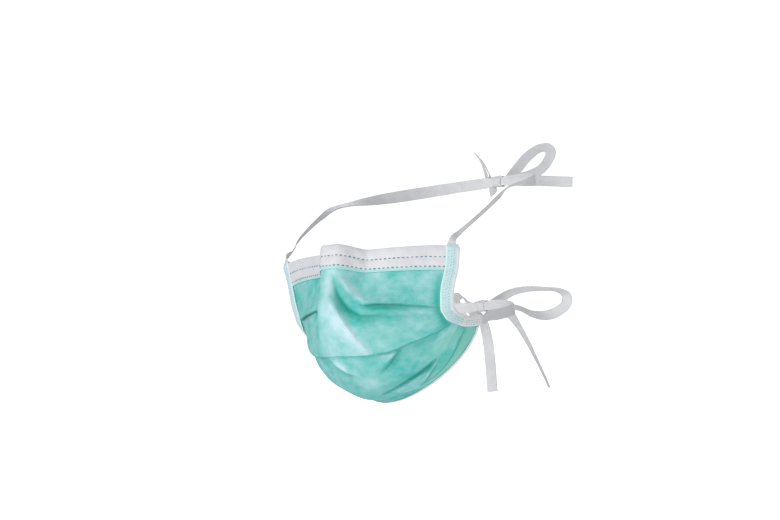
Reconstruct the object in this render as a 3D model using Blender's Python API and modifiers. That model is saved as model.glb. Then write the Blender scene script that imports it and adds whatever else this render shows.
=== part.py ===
"""A pleated tie-on medical face mask in its worn form: wearer's left is +X, the front is -Y, up is +Z.

The origin is the bridge of the nose, at the middle of the mask's top edge. Every cloth piece is an open
sheet of points, thickened by a Solidify modifier: the pleated panel, the strips folded over its four
edges, and the four ties with the loops and free ends of their two bows.
"""

from functools import lru_cache
from math import cos, exp, pi, radians, sin
from typing import NamedTuple

import bpy
import numpy as np
from mathutils import Matrix, Vector

MM = 0.001

# Sizes of the panel as it is worn
HALF_SPAN = 71.5 * MM  # nose bridge to the upper corner, sideways
REACH = 69 * MM  # nose bridge to the lower corner, front to back
DROP = 110 * MM  # nose bridge to the lower edge under the chin
PANEL_WALL = 1.6 * MM  # three nonwoven plies together
CLEARANCE = 0.3 * MM  # gap between two pieces that are welded on the real mask

# The bridge of the nose, which lifts the top of the panel
NOSE_FORWARD = 13 * MM
NOSE_UP = 7 * MM
NOSE_FLAT = 5 * MM  # half the width of the flat between the two bends
NOSE_FOOT = 20 * MM  # half the width where the bend meets the cheeks

# Pleats, all folded to face down
PLEAT_STEP = 2.2 * MM  # how far a fold stands off the cloth below it
PLEAT_RISE = 15 * MM  # length of cloth over which a fold lifts
PLEAT_EDGE = 2 * MM  # length of cloth over which it drops again
SIDE_FADE = 14 * MM  # the pleats lie flat where the side bindings hold them

# Strips folded over the edges
STRIP_WALL = 1.0 * MM
NOSE_BAND_HEIGHT = 13 * MM
LOWER_HEM_HEIGHT = 2.4 * MM
BINDING_WIDTH = 7.6 * MM

# Ties
TIE_WIDTH = 7.5 * MM
TIE_WALL = 0.9 * MM
HEAD_HALF_WIDTH = 76 * MM  # sideways to the upper ties where they pass over the ears
HEAD_BACK = 197 * MM  # nose bridge to the upper knot
EAR_UP = 18 * MM  # height of the upper ties over the ears
NECK_HALF_WIDTH = 59 * MM
NECK_BACK = 155 * MM  # nose bridge to the lower knot
NECK_DOWN = 66 * MM

# Bows
KNOT_WIDTH = 10 * MM
KNOT_DEPTH = 8.4 * MM
KNOT_HEIGHT = 9 * MM
KNOT_ROUND = 2.6 * MM
KNOT_LEAD = 2.2 * MM  # straight stretch of each tie where it comes out of a knot
TIE_LAYER = -0.34  # depths at which the ties, loops and ends leave a knot, as shares of its depth
LOOP_LAYERS = (-0.14, 0.08)
TAIL_LAYER = 0.32
BOW_SWING = 38  # degrees by which the loops and free ends point backwards
UPPER_LOOP = 42 * MM
UPPER_TAIL = 51 * MM
LOWER_LOOP = 61 * MM
LOWER_TAIL = 64 * MM

# Fineness of the sheets
PANEL_CELLS_ACROSS = 38
BAND_CELLS_ACROSS = 34
HEM_CELLS_ACROSS = 26
BINDING_CELLS_DOWN = 18
TURN_CELLS = 3
LEG_CELLS = 2
TIE_CELL = 9 * MM
BOW_CELL = 3.4 * MM
PANEL_ROW = 5 * MM
ARC_SAMPLES = 80
SMALL_STEP = 0.004  # share of the panel over which slopes are measured
SHORT_RUN = 0.2 * MM  # length of tie over which its direction is measured
UPRIGHT = Vector((0, 0, 1))  # the way a tie's width points where it doesn't lean


class Section(NamedTuple):
    """One line across half of the panel, from its middle over the cheek to its side edge.

    Sideways lengths are shares of HALF_SPAN, lengths to the back of REACH, and lengths down of DROP.
    The nose's lengths are shares of NOSE_FORWARD, NOSE_UP and NOSE_FOOT.
    """

    along: float
    middle_back: float
    middle_down: float
    front_out: float
    front_down: float
    cheek_out: float
    cheek_back: float
    cheek_down: float
    side_out: float
    side_back: float
    side_down: float
    nose_forward: float
    nose_up: float
    nose_foot: float


SECTIONS = (
    # the top edge, over the bridge of the nose
    Section(0.00, 0.17, 0.07, 0.36, 0.07, 0.80, 0.43, 0.08, 1.00, 0.59, 0.13, 0.92, 1.00, 1.00),
    # the lower edge of the nose band
    Section(0.10, 0.12, 0.18, 0.34, 0.18, 0.76, 0.39, 0.20, 0.965, 0.57, 0.245, 0.96, 0.85, 1.00),
    Section(0.20, 0.00, 0.27, 0.30, 0.28, 0.72, 0.36, 0.33, 0.92, 0.52, 0.355, 0.75, 0.40, 0.90),
    # the first pleat, at the tip of the nose
    Section(0.30, -0.13, 0.355, 0.27, 0.365, 0.70, 0.36, 0.455, 0.888, 0.514, 0.456, 0.46, 0.14, 0.75),
    Section(0.43, -0.18, 0.50, 0.27, 0.51, 0.70, 0.36, 0.55, 0.881, 0.536, 0.482, 0.10, 0.00, 0.75),
    # the second pleat, below the mouth
    Section(0.57, -0.11, 0.665, 0.30, 0.68, 0.73, 0.36, 0.62, 0.874, 0.568, 0.502, 0.00, 0.00, 0.75),
    # the front of the chin
    Section(0.70, 0.04, 0.82, 0.32, 0.83, 0.78, 0.43, 0.70, 0.864, 0.659, 0.535, 0.00, 0.00, 0.75),
    # the third pleat, under the chin
    Section(0.87, 0.28, 0.95, 0.32, 0.95, 0.81, 0.57, 0.77, 0.853, 0.761, 0.557, 0.00, 0.00, 0.75),
    # the lower edge
    Section(1.00, 0.52, 1.00, 0.35, 1.00, 0.80, 0.90, 0.80, 0.825, 1.00, 0.572, 0.00, 0.00, 0.75),
)

PLEATS = (0.30, 0.57, 0.87)  # shares of the panel from top to bottom


class Crease(NamedTuple):
    """A fold or a dent pressed into the panel along a straight line on the cloth.

    Across is a share of half the panel, wearer's left positive, and along a share from top to bottom.
    Width is a share of HALF_SPAN and height of PLEAT_STEP, outwards positive.
    """

    across: float
    along: float
    to_across: float
    to_along: float
    width: float
    height: float


CREASES = (
    # the valley beside the nose, and its run out over the cheek
    Crease(0.10, 0.20, 0.21, 0.345, 0.050, -1.5),
    Crease(0.21, 0.345, 0.42, 0.345, 0.050, -1.0),
    Crease(-0.12, 0.20, -0.20, 0.33, 0.045, -0.7),
    # the edges of the flat three-cornered front, from the tip of the nose down
    Crease(0.08, 0.36, 0.27, 0.56, 0.055, 1.0),
    Crease(-0.08, 0.36, -0.20, 0.56, 0.060, 0.8),
    # the diagonal folds on the wearer's left below the second pleat
    Crease(0.50, 0.60, 0.33, 0.70, 0.040, 0.9),
    Crease(0.72, 0.78, 0.40, 0.93, 0.045, 0.9),
    Crease(-0.60, 0.66, -0.30, 0.80, 0.060, 0.7),
)


class Stop(NamedTuple):
    """A point that a tie passes: shares of the tie's own half width, back and height, and its lean."""

    out: float
    back: float
    up: float
    lean: float


UPPER_ROUTE = (
    Stop(0.930, 0.236, -0.26, -50),
    Stop(0.975, 0.290, 0.04, -22),
    Stop(1.000, 0.375, 0.42, -4),
    Stop(1.000, 0.453, 0.75, 14),
    Stop(0.985, 0.515, 0.97, 58),
    Stop(0.955, 0.585, 1.02, 66),
    Stop(0.905, 0.670, 1.00, 40),
    Stop(0.790, 0.780, 0.97, 12),
    Stop(0.580, 0.890, 0.95, 0),
    Stop(0.320, 0.965, 0.95, 0),
)
LOWER_ROUTE = (
    Stop(0.965, 0.515, -0.98, 0),
    Stop(0.925, 0.620, -0.99, 0),
    Stop(0.830, 0.765, -1.00, 0),
    Stop(0.630, 0.895, -1.00, 0),
    Stop(0.320, 0.965, -0.98, 0),
)


class Turn(NamedTuple):
    """A point of a bow: shares of the loop's or free end's length, outwards and up, and its lean.

    Aside is the distance across the loop, as a share of the same length.
    """

    out: float
    up: float
    aside: float
    lean: float


UPPER_LOOP_ROUTE = (
    Turn(0.32, 0.15, -0.13, 0),
    Turn(0.58, 0.34, -0.11, 0),
    Turn(0.80, 0.43, -0.10, 0),
    Turn(0.95, 0.43, -0.06, 4),
    Turn(1.00, 0.35, 0.01, 8),
    Turn(0.93, 0.23, 0.06, 4),
    Turn(0.76, 0.11, 0.06, 0),
    Turn(0.54, 0.03, 0.02, 0),
    Turn(0.32, 0.00, -0.06, 0),
)
UPPER_TAIL_ROUTE = (
    Turn(0.25, -0.02, 0.00, 0),
    Turn(0.50, -0.07, 0.08, 0),
    Turn(0.75, -0.12, 0.12, 0),
    Turn(1.00, -0.17, 0.13, 0),
)
LOWER_LOOP_ROUTE = (
    Turn(0.18, 0.06, -0.13, 0),
    Turn(0.34, 0.13, -0.12, 10),
    Turn(0.54, 0.14, -0.11, 22),
    Turn(0.73, 0.10, -0.10, 26),
    Turn(0.90, 0.07, -0.08, 30),
    Turn(0.99, 0.00, -0.03, 40),
    Turn(0.98, -0.10, 0.01, 54),
    Turn(0.84, -0.18, 0.03, 66),
    Turn(0.68, -0.20, 0.03, 66),
    Turn(0.54, -0.16, 0.02, 55),
    Turn(0.40, -0.07, -0.01, 24),
    Turn(0.24, -0.02, -0.06, 0),
)
LOWER_TAIL_ROUTE = (
    Turn(0.16, -0.02, -0.02, 0),
    Turn(0.25, -0.10, 0.03, 0),
    Turn(0.34, -0.26, 0.08, 20),
    Turn(0.42, -0.46, 0.11, 45),
    Turn(0.49, -0.68, 0.12, 50),
    Turn(0.55, -0.88, 0.12, 50),
    Turn(0.58, -1.00, 0.12, 45),
)

GREEN = (0.155, 0.565, 0.520)
WHITE = (0.740, 0.750, 0.765)
BRIGHT_WHITE = (0.820, 0.825, 0.830)
NONWOVEN_ROUGHNESS = 0.75


def smooth_between(rows, position):
    """The row at this position of its first column, on a smooth curve through all the rows."""
    table = np.array(rows, dtype=float)
    stations = table[:, 0]
    slopes = np.gradient(table, stations, axis=0)
    i = int(np.clip(np.searchsorted(stations, position) - 1, 0, len(stations) - 2))
    span = stations[i + 1] - stations[i]
    s = (position - stations[i]) / span
    start = (1 + 2 * s) * (1 - s) ** 2
    end = s * s * (3 - 2 * s)
    leave = s * (1 - s) ** 2 * span
    arrive = s * s * (s - 1) * span
    return start * table[i] + end * table[i + 1] + leave * slopes[i] + arrive * slopes[i + 1]


def fade(value):
    """0 below 0, 1 above 1, and a smooth rise between them."""
    s = min(max(value, 0.0), 1.0)
    return s * s * (3 - 2 * s)


@lru_cache(maxsize=None)
def half_line(along):
    """Points and running length of one section, from the middle to the side edge."""
    section = Section(*smooth_between(SECTIONS, along))
    size = np.array((HALF_SPAN, REACH, -DROP))
    middle = size * (0, section.middle_back, section.middle_down)
    front = size * (section.front_out, section.middle_back, section.front_down)
    cheek = size * (section.cheek_out, section.cheek_back, section.cheek_down)
    side = size * (section.side_out, section.side_back, section.side_down)
    t = np.linspace(0, 1, ARC_SAMPLES)[:, None]
    points = (1 - t) ** 3 * middle + 3 * (1 - t) ** 2 * t * front + 3 * (1 - t) * t**2 * cheek + t**3 * side
    foot = NOSE_FOOT * section.nose_foot
    bridge = np.array([1 - fade((x - NOSE_FLAT) / (foot - NOSE_FLAT)) for x in points[:, 0]])
    points[:, 1] -= bridge * NOSE_FORWARD * section.nose_forward
    points[:, 2] += bridge * NOSE_UP * section.nose_up
    steps = np.linalg.norm(np.diff(points, axis=0), axis=1)
    return points, np.concatenate(([0], np.cumsum(steps)))


def half_width(along):
    """Length of cloth from the middle of the panel to its side edge."""
    return half_line(round(along, 6))[1][-1]


def form(across, along):
    """A point of the panel's smooth form. Across runs from -1 to 1, and along from 0 at the top to 1."""
    inside = min(max(along, 0.0), 1.0)
    points, lengths = half_line(round(inside, 6))
    reach = abs(across) * lengths[-1]
    x, y, z = (np.interp(reach, lengths, points[:, i]) for i in range(3))
    return Vector((x if across >= 0 else -x, y, z))


def slopes(across, along):
    """Unit directions of the form: sideways to the wearer's left, down the cloth, and outwards."""
    left = min(across + SMALL_STEP, 1.0)
    right = max(across - SMALL_STEP, -1.0)
    low = min(along + SMALL_STEP, 1.0)
    high = max(along - SMALL_STEP, 0.0)
    sideways = (form(left, along) - form(right, along)).normalized()
    down = (form(across, low) - form(across, high)).normalized()
    return sideways, down, down.cross(sideways).normalized()


def panel_height():
    """Length of cloth down the middle of the panel as it is worn."""
    middle = [form(0, along) for along in np.linspace(0, 1, ARC_SAMPLES)]
    return sum((b - a).length for a, b in zip(middle, middle[1:]))


def pleat_relief(along, height):
    """How far the pleats lift the cloth: a slow rise above each fold and a quick drop below it."""
    lift = 0.0
    for pleat in PLEATS:
        below = (along - pleat) * height
        if -PLEAT_RISE < below <= 0:
            lift = max(lift, 1 + below / PLEAT_RISE)
        elif 0 < below < PLEAT_EDGE:
            lift = max(lift, 1 - below / PLEAT_EDGE)
    return PLEAT_STEP * lift


def crease_relief(across, along, height):
    """How far the creases push the cloth out or in."""
    lift = 0.0
    width = half_width(along)
    for crease in CREASES:
        start = Vector((crease.across * width, crease.along * height))
        end = Vector((crease.to_across * width, crease.to_along * height))
        here = Vector((across * width, along * height))
        run = end - start
        share = min(max((here - start).dot(run) / run.length_squared, 0.0), 1.0)
        away = (here - start - run * share).length / (crease.width * HALF_SPAN)
        lift += crease.height * exp(-away * away)
    return PLEAT_STEP * lift


def relief(across, along, height):
    """Pleats and creases together, flat under the strips that hold the four edges."""
    from_side = (1 - abs(across)) * half_width(along) - BINDING_WIDTH
    from_top = along * height - NOSE_BAND_HEIGHT
    from_bottom = (1 - along) * height - LOWER_HEM_HEIGHT
    held = fade(from_side / SIDE_FADE) * fade(from_top / PLEAT_RISE) * fade(from_bottom / PLEAT_RISE)
    return held * (pleat_relief(along, height) + crease_relief(across, along, height))


def material(name, colour, roughness):
    """A plain non-metal finish."""
    finish = bpy.data.materials.new(name)
    finish.use_nodes = True
    shader = finish.node_tree.nodes["Principled BSDF"]
    shader.inputs["Base Color"].default_value = (*colour, 1)
    shader.inputs["Roughness"].default_value = roughness
    shader.inputs["Metallic"].default_value = 0
    finish.diffuse_color = (*colour, 1)
    return finish


def sheet(name, rows, wall, side, finish):
    """A cloth piece: rows of points joined into an open sheet, then thickened.

    Side is 0 for a sheet in the middle of its wall, 1 for a wall that grows along the sheet's normals
    and -1 for one that grows against them.
    """
    count = len(rows[0])
    faces = []
    for i in range(len(rows) - 1):
        for j in range(count - 1):
            a = i * count + j
            faces.append((a, a + 1, a + count + 1, a + count))
    mesh = bpy.data.meshes.new(name)
    mesh.from_pydata([tuple(point) for row in rows for point in row], [], faces)
    mesh.shade_smooth()
    mesh.materials.append(finish)
    piece = bpy.data.objects.new(name, mesh)
    thicken = piece.modifiers.new("wall", "SOLIDIFY")
    thicken.thickness = wall
    thicken.offset = side
    collection.objects.link(piece)
    return piece


def pleated_panel():
    """The green body, with rows of points on each fold and close below it."""
    height = panel_height()
    marks = [0.0, NOSE_BAND_HEIGHT / height]
    for pleat in PLEATS:
        marks += [pleat - PLEAT_RISE / height, pleat, pleat + PLEAT_EDGE / height]
    marks += [1 - LOWER_HEM_HEIGHT / height, 1.0]
    marks.sort()
    stations = []
    for start, end in zip(marks, marks[1:]):
        cells = max(1, round((end - start) * height / PANEL_ROW))
        stations += [start + (end - start) * i / cells for i in range(cells)]
    stations.append(1.0)
    rows = []
    for along in stations:
        row = []
        for across in np.linspace(-1, 1, PANEL_CELLS_ACROSS + 1):
            out = slopes(across, along)[2]
            row.append(form(across, along) + out * relief(across, along, height))
        rows.append(row)
    sheet("panel", rows, PANEL_WALL, 0, material("green nonwoven", GREEN, NONWOVEN_ROUGHNESS))


def fold_over(edge, outwards, normal, width, at):
    """One section of a strip folded over an edge: from its front leg round the edge to its back leg.

    At is a function that gives the point of the form some depth in from the edge, and its normal.
    """
    radius = PANEL_WALL / 2 + CLEARANCE
    depths = [width * (1 - i / LEG_CELLS) for i in range(LEG_CELLS)]
    row = []
    for depth in depths:
        point, out = at(depth)
        row.append(point + out * radius)
    for i in range(TURN_CELLS + 1):
        angle = pi / 2 - pi * i / TURN_CELLS
        row.append(edge + normal * radius * sin(angle) + outwards * radius * cos(angle))
    for depth in reversed(depths):
        point, out = at(depth)
        row.append(point - out * radius)
    return row


def across_at(side, along, depth):
    """The place on the panel that lies a depth in from its side edge."""
    return side * (1 - depth / half_width(along))


def side_binding(side, finish):
    """The strip folded over one side edge, which holds the pleats together."""
    overhang = PANEL_WALL / 2 + CLEARANCE + STRIP_WALL
    rows = []
    stations = [(0.0, -overhang)]
    stations += [(float(along), 0.0) for along in np.linspace(0, 1, BINDING_CELLS_DOWN)]
    stations.append((1.0, overhang))
    for along, beyond in stations:
        shift = slopes(across_at(side, along, BINDING_WIDTH / 2), along)[1] * beyond

        def at(depth, along=along, shift=shift):
            across = across_at(side, along, depth)
            return form(across, along) + shift, slopes(across, along)[2]

        sideways, _, normal = slopes(side, along)
        rows.append(fold_over(form(side, along) + shift, sideways * side, normal, BINDING_WIDTH, at))
    name = "side_binding_left" if side > 0 else "side_binding_right"
    sheet(name, rows, STRIP_WALL, -side, finish)


def edge_strip(name, along, inwards, depth, cells, finish):
    """The strip folded over the top or the lower edge, between the two side bindings."""
    height = panel_height()
    end = 1 - (BINDING_WIDTH + CLEARANCE) / half_width(along)
    rows = []
    for across in np.linspace(-end, end, cells + 1):

        def at(inset, across=across):
            place = along + inwards * inset / height
            return form(across, place), slopes(across, place)[2]

        _, down, normal = slopes(across, along)
        rows.append(fold_over(form(across, along), -inwards * down, normal, depth, at))
    sheet(name, rows, STRIP_WALL, -inwards, finish)


def sweep(stops, cell):
    """Evenly spread places on a smooth curve through the stops: point, direction and lean."""
    table = np.array(stops, dtype=float)
    gaps = np.linalg.norm(np.diff(table[:, :3], axis=0), axis=1)
    running = np.concatenate(([0], np.cumsum(gaps)))
    rows = np.column_stack((running, table))
    length = running[-1]
    count = max(2, round(length / cell))
    places = []
    for place in np.linspace(0, length, count + 1):
        here = smooth_between(rows, place)
        before = smooth_between(rows, max(place - SHORT_RUN, 0))
        after = smooth_between(rows, min(place + SHORT_RUN, length))
        run = Vector(after[1:4] - before[1:4]).normalized()
        places.append((Vector(here[1:4]), run, here[4]))
    return places


def ribbon(name, stops, cell, finish, root=None):
    """A flat tie along its stops, standing on edge before it leans. Root is its first row, if cut aslant."""
    rows = []
    for point, run, lean in sweep(stops, cell):
        width = (UPRIGHT - run * UPRIGHT.dot(run)).normalized()
        width = Matrix.Rotation(radians(lean), 3, run) @ width
        half = width * TIE_WIDTH / 2
        rows.append((point - half, point, point + half))
    if root:
        same_way = (root[1] - root[0]).dot(rows[0][2] - rows[0][0]) > 0
        low, high = root if same_way else reversed(root)
        rows[0] = (low, (low + high) / 2, high)
    sheet(name, rows, TIE_WALL, 0, finish)


def binding_end(side, along, beyond):
    """The two corners of a side binding's end, and the way the strip runs on from it."""
    down = slopes(across_at(side, along, BINDING_WIDTH / 2), along)[1]
    onwards = down if along > 0 else -down
    corners = [form(across_at(side, along, depth), along) + onwards * beyond for depth in (0, BINDING_WIDTH)]
    return corners, onwards


def tie(name, side, along, route, size, knot, finish):
    """One tie, from its side binding round the head or the neck to its knot."""
    overhang = PANEL_WALL / 2 + CLEARANCE + STRIP_WALL
    root, onwards = binding_end(side, along, overhang + CLEARANCE)
    start = (root[0] + root[1]) / 2
    half_out, back, up = size
    stops = [(*start, 0), (*(start + onwards * TIE_WIDTH / 2), 0)]
    for stop in route:
        stops.append((side * half_out * stop.out, back * stop.back, up * stop.up, side * stop.lean))
    mouth = KNOT_WIDTH / 2 + CLEARANCE
    for x in (mouth + 2 * KNOT_LEAD, mouth):
        stops.append((side * x, knot.y + TIE_LAYER * KNOT_DEPTH, knot.z, 0))
    ribbon(name, stops, TIE_CELL, finish, root)


def bow_piece(name, side, knot, length, route, layers, finish):
    """A loop or a free end of a bow. Layers are the depths in the knot at which it leaves and returns."""
    swing = radians(BOW_SWING)
    outwards = Vector((side * cos(swing), sin(swing), 0))
    aside = Vector((-side * sin(swing), cos(swing), 0))
    mouth = [side * (KNOT_WIDTH / 2 + CLEARANCE + lead) for lead in (0, KNOT_LEAD)]
    stops = [(knot.x + x, knot.y + layers[0] * KNOT_DEPTH, knot.z, 0) for x in mouth]
    for turn in route:
        place = knot + length * (outwards * turn.out + aside * turn.aside)
        stops.append((place.x, place.y, place.z + length * turn.up, side * turn.lean))
    if len(layers) > 1:
        stops += [(knot.x + x, knot.y + layers[1] * KNOT_DEPTH, knot.z, 0) for x in reversed(mouth)]
    ribbon(name, stops, BOW_CELL, finish)


def knot_lump(name, place, finish):
    """The knot of a bow, as one rounded lump."""
    bpy.ops.mesh.primitive_cube_add(size=1, location=place)
    lump = bpy.context.active_object
    lump.name = name
    lump.data.name = name
    lump.data.transform(Matrix.Diagonal((KNOT_WIDTH, KNOT_DEPTH, KNOT_HEIGHT, 1)))
    lump.data.materials.append(finish)
    lump.data.shade_smooth()
    rounded = lump.modifiers.new("rounded edges", "BEVEL")
    rounded.width = KNOT_ROUND
    rounded.segments = 3
    for holder in lump.users_collection:
        holder.objects.unlink(lump)
    collection.objects.link(lump)
    return lump


for old in list(bpy.data.objects):
    bpy.data.objects.remove(old, do_unlink=True)
collection = bpy.data.collections.new("medical face mask")
bpy.context.scene.collection.children.link(collection)

pleated_panel()
white = material("white nonwoven edge", WHITE, NONWOVEN_ROUGHNESS)
edge_strip("nose_band", 0.0, 1, NOSE_BAND_HEIGHT, BAND_CELLS_ACROSS, white)
edge_strip("lower_hem", 1.0, -1, LOWER_HEM_HEIGHT, HEM_CELLS_ACROSS, white)

UPPER_KNOT = Vector((0, HEAD_BACK, EAR_UP * UPPER_ROUTE[-1].up))
LOWER_KNOT = Vector((0, NECK_BACK, NECK_DOWN * LOWER_ROUTE[-1].up))
UPPER_SIZE = (HEAD_HALF_WIDTH, HEAD_BACK, EAR_UP)
LOWER_SIZE = (NECK_HALF_WIDTH, NECK_BACK, NECK_DOWN)
strip = material("white nonwoven tie", BRIGHT_WHITE, NONWOVEN_ROUGHNESS)
for side, suffix in ((1, "left"), (-1, "right")):
    side_binding(side, white)
    tie(f"upper_tie_{suffix}", side, 0.0, UPPER_ROUTE, UPPER_SIZE, UPPER_KNOT, strip)
    tie(f"lower_tie_{suffix}", side, 1.0, LOWER_ROUTE, LOWER_SIZE, LOWER_KNOT, strip)
    for level, knot, loop, loop_route, tail, tail_route in (
        ("upper", UPPER_KNOT, UPPER_LOOP, UPPER_LOOP_ROUTE, UPPER_TAIL, UPPER_TAIL_ROUTE),
        ("lower", LOWER_KNOT, LOWER_LOOP, LOWER_LOOP_ROUTE, LOWER_TAIL, LOWER_TAIL_ROUTE),
    ):
        bow_piece(f"{level}_loop_{suffix}", side, knot, loop, loop_route, LOOP_LAYERS, strip)
        bow_piece(f"{level}_tail_{suffix}", side, knot, tail, tail_route, (TAIL_LAYER,), strip)
knot_lump("upper_knot", UPPER_KNOT, strip)
knot_lump("lower_knot", LOWER_KNOT, strip)
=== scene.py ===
# %% [markdown]
# # A pleated face mask with ties
# This script dresses the plain solids of a medical face mask with their real surfaces. The mask has a
# mint green body with three pleats, a white band over its top edge, white strips folded over its
# sides, and four flat ties that end in two bows. Each piece is made where its solid is, so nothing is
# fitted by eye. As worn, the left side is +X, the front is -Y and up is +Z, in metres.

from math import cos, pi, radians, sin
from typing import NamedTuple

import bpy
import numpy as np
from mathutils import Matrix, Vector


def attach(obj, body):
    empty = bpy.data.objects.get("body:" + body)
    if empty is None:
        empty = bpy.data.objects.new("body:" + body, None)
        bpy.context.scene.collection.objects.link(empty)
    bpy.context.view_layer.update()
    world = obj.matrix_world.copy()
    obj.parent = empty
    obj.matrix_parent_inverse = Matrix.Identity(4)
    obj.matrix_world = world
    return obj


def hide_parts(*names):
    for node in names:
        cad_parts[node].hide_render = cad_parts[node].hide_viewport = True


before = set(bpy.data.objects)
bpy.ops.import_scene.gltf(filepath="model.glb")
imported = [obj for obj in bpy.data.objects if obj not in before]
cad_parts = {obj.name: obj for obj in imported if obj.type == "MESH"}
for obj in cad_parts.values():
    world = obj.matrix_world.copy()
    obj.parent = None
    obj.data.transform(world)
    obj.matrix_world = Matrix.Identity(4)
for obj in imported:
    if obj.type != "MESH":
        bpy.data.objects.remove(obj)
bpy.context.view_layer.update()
MM = 0.001

# %% [markdown]
# The camera looks at the mask from the front and its left side, a little from above, and it is rolled by a
# few degrees. A long lens keeps the far ties nearly as large as the near ones. The three axes are worked out
# one by one instead of with a tracking constraint, because the roll is then one plain number.

# %% Place the camera
LOOK_ASIDE = radians(38)
LOOK_DOWN = radians(3.5)
LOOK_ROLL = radians(9)
LOOK_AWAY = 2.0
LOOK_WIDTH = 0.507  # what the image takes in from side to side, at the origin
IMAGE_WIDTH = 780
SHIFT_RIGHT = 60  # pixels from the origin to the middle of the image
SHIFT_DOWN = 15
SENSOR = 36

level = Vector((cos(LOOK_ASIDE), sin(LOOK_ASIDE), 0))
towards = Vector((sin(LOOK_ASIDE) * cos(LOOK_DOWN), -cos(LOOK_ASIDE) * cos(LOOK_DOWN), sin(LOOK_DOWN)))
above = towards.cross(level)
right = level * cos(LOOK_ROLL) - above * sin(LOOK_ROLL)
top = level * sin(LOOK_ROLL) + above * cos(LOOK_ROLL)
pixel = LOOK_WIDTH / IMAGE_WIDTH
centre = right * SHIFT_RIGHT * pixel - top * SHIFT_DOWN * pixel

lens = bpy.data.cameras.new("studio camera")
lens.sensor_width = SENSOR
lens.lens = SENSOR * LOOK_AWAY / LOOK_WIDTH
camera = bpy.data.objects.new("studio camera", lens)
axes = Matrix((right, top, towards)).transposed().to_4x4()
camera.matrix_world = Matrix.Translation(centre + towards * LOOK_AWAY) @ axes
bpy.context.scene.collection.objects.link(camera)
bpy.context.scene.camera = camera
print("lens:", round(lens.lens, 1), "mm")

# %% [markdown]
# Colours are easiest to write as the hex codes of a paint program, but a renderer counts in linear
# light. One function turns the first into the second. Another adds a shader or geometry node with its
# settings and its inputs in one call.

# %% Two helpers for every material and node tree
RGBA = {"data_type": "RGBA"}  # the setting that makes a Mix node blend colours


def linear(code):
    """A linear colour from an sRGB hex code."""
    parts = [int(code[i : i + 2], 16) / 255 for i in (1, 3, 5)]
    return (*[c / 12.92 if c <= 0.04045 else ((c + 0.055) / 1.055) ** 2.4 for c in parts], 1.0)


def add(tree, kind, inputs=None, **settings):
    """Adds a node. Inputs are sockets to link from, or values, by the socket's name or number."""
    node = tree.nodes.new(kind)
    for name, value in settings.items():
        setattr(node, name, value)
    for key, value in (inputs or {}).items():
        if isinstance(value, bpy.types.NodeSocket):
            tree.links.new(value, node.inputs[key])
        else:
            node.inputs[key].default_value = value
    return node


print("mint:", [round(c, 3) for c in linear("#6CC9C4")])

# %% [markdown]
# A product photo on white is lit by big soft lamps in a white room. The room here is one wide bowl: a
# pale floor that curves up all round, so no view shows a horizon. Rays from the mask don't see the
# bowl, because light from a bright floor would wash the folds out.

# %% Build the white room
FLOOR = -0.30
BOWL_RADIUS = 7.0
BOWL_CURVE = 2.5
BOWL_RIM = 5.0
BOWL_STEPS = 12
AROUND = 64

profile = []
for step in range(BOWL_STEPS + 1):
    turn = pi / 2 * step / BOWL_STEPS
    profile.append((BOWL_RADIUS - BOWL_CURVE + BOWL_CURVE * sin(turn), BOWL_CURVE - BOWL_CURVE * cos(turn)))
profile.append((BOWL_RADIUS, BOWL_RIM))
corners = [(0, 0, FLOOR)]
for radius, height in profile:
    for turn in [2 * pi * k / AROUND for k in range(AROUND)]:
        corners.append((radius * cos(turn), radius * sin(turn), FLOOR + height))
faces = [(0, 1 + k, 1 + (k + 1) % AROUND) for k in range(AROUND)]
for ring in range(len(profile) - 1):
    low = 1 + ring * AROUND
    for k in range(AROUND):
        after = (k + 1) % AROUND
        faces.append((low + k, low + AROUND + k, low + AROUND + after, low + after))
bowl_mesh = bpy.data.meshes.new("white room")
bowl_mesh.from_pydata(corners, [], faces)
bowl_mesh.shade_smooth()
bowl = bpy.data.objects.new("white_room", bowl_mesh)
bpy.context.scene.collection.objects.link(bowl)
bowl.visible_diffuse = False
bowl.visible_glossy = False
bowl.visible_shadow = False

paper = bpy.data.materials.new("matt white paper")
paper.use_nodes = True
paper_shader = paper.node_tree.nodes["Principled BSDF"]
paper_shader.inputs["Base Color"].default_value = linear("#F4F4F4")
paper_shader.inputs["Roughness"].default_value = 0.9
paper_shader.inputs["Emission Color"].default_value = linear("#FFFFFF")
paper_shader.inputs["Emission Strength"].default_value = 0.75
bowl_mesh.materials.append(paper)
print("room:", len(bowl_mesh.polygons), "faces")

# %% [markdown]
# A large lamp in front of the mask draws the folds and a weaker one fills the side. A third lifts the
# cloth that faces down, as a white table would, and one from behind keeps the bows and the lining
# white. The pale world keeps the shadows open.

# %% Hang the lamps
world = bpy.data.worlds.new("soft room light")
world.use_nodes = True
world.node_tree.nodes["Background"].inputs["Color"].default_value = linear("#F8FAFF")
world.node_tree.nodes["Background"].inputs["Strength"].default_value = 0.46
bpy.context.scene.world = world
bpy.context.scene.view_settings.view_transform = "Standard"


def lamp(name, place, aim, size, power):
    """A square soft lamp that faces a point."""
    light = bpy.data.lights.new(name, "AREA")
    light.size = size
    light.energy = power
    holder = bpy.data.objects.new(name, light)
    holder.location = place
    holder.rotation_euler = (Vector(place) - Vector(aim)).to_track_quat("Z", "Y").to_euler()
    bpy.context.scene.collection.objects.link(holder)


lamp("key lamp", (-0.75, -1.45, 0.85), (0, 0, -0.04), 0.6, 15)
lamp("fill lamp", (1.9, -0.9, -0.25), (0, 0.03, -0.05), 1.4, 8.5)
lamp("bounce lamp", (0.6, -1.2, -1.3), (0, 0, -0.05), 1.2, 11)
lamp("back lamp", (-0.9, 1.6, 1.4), (0, 0.15, 0), 1.2, 15)

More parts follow.
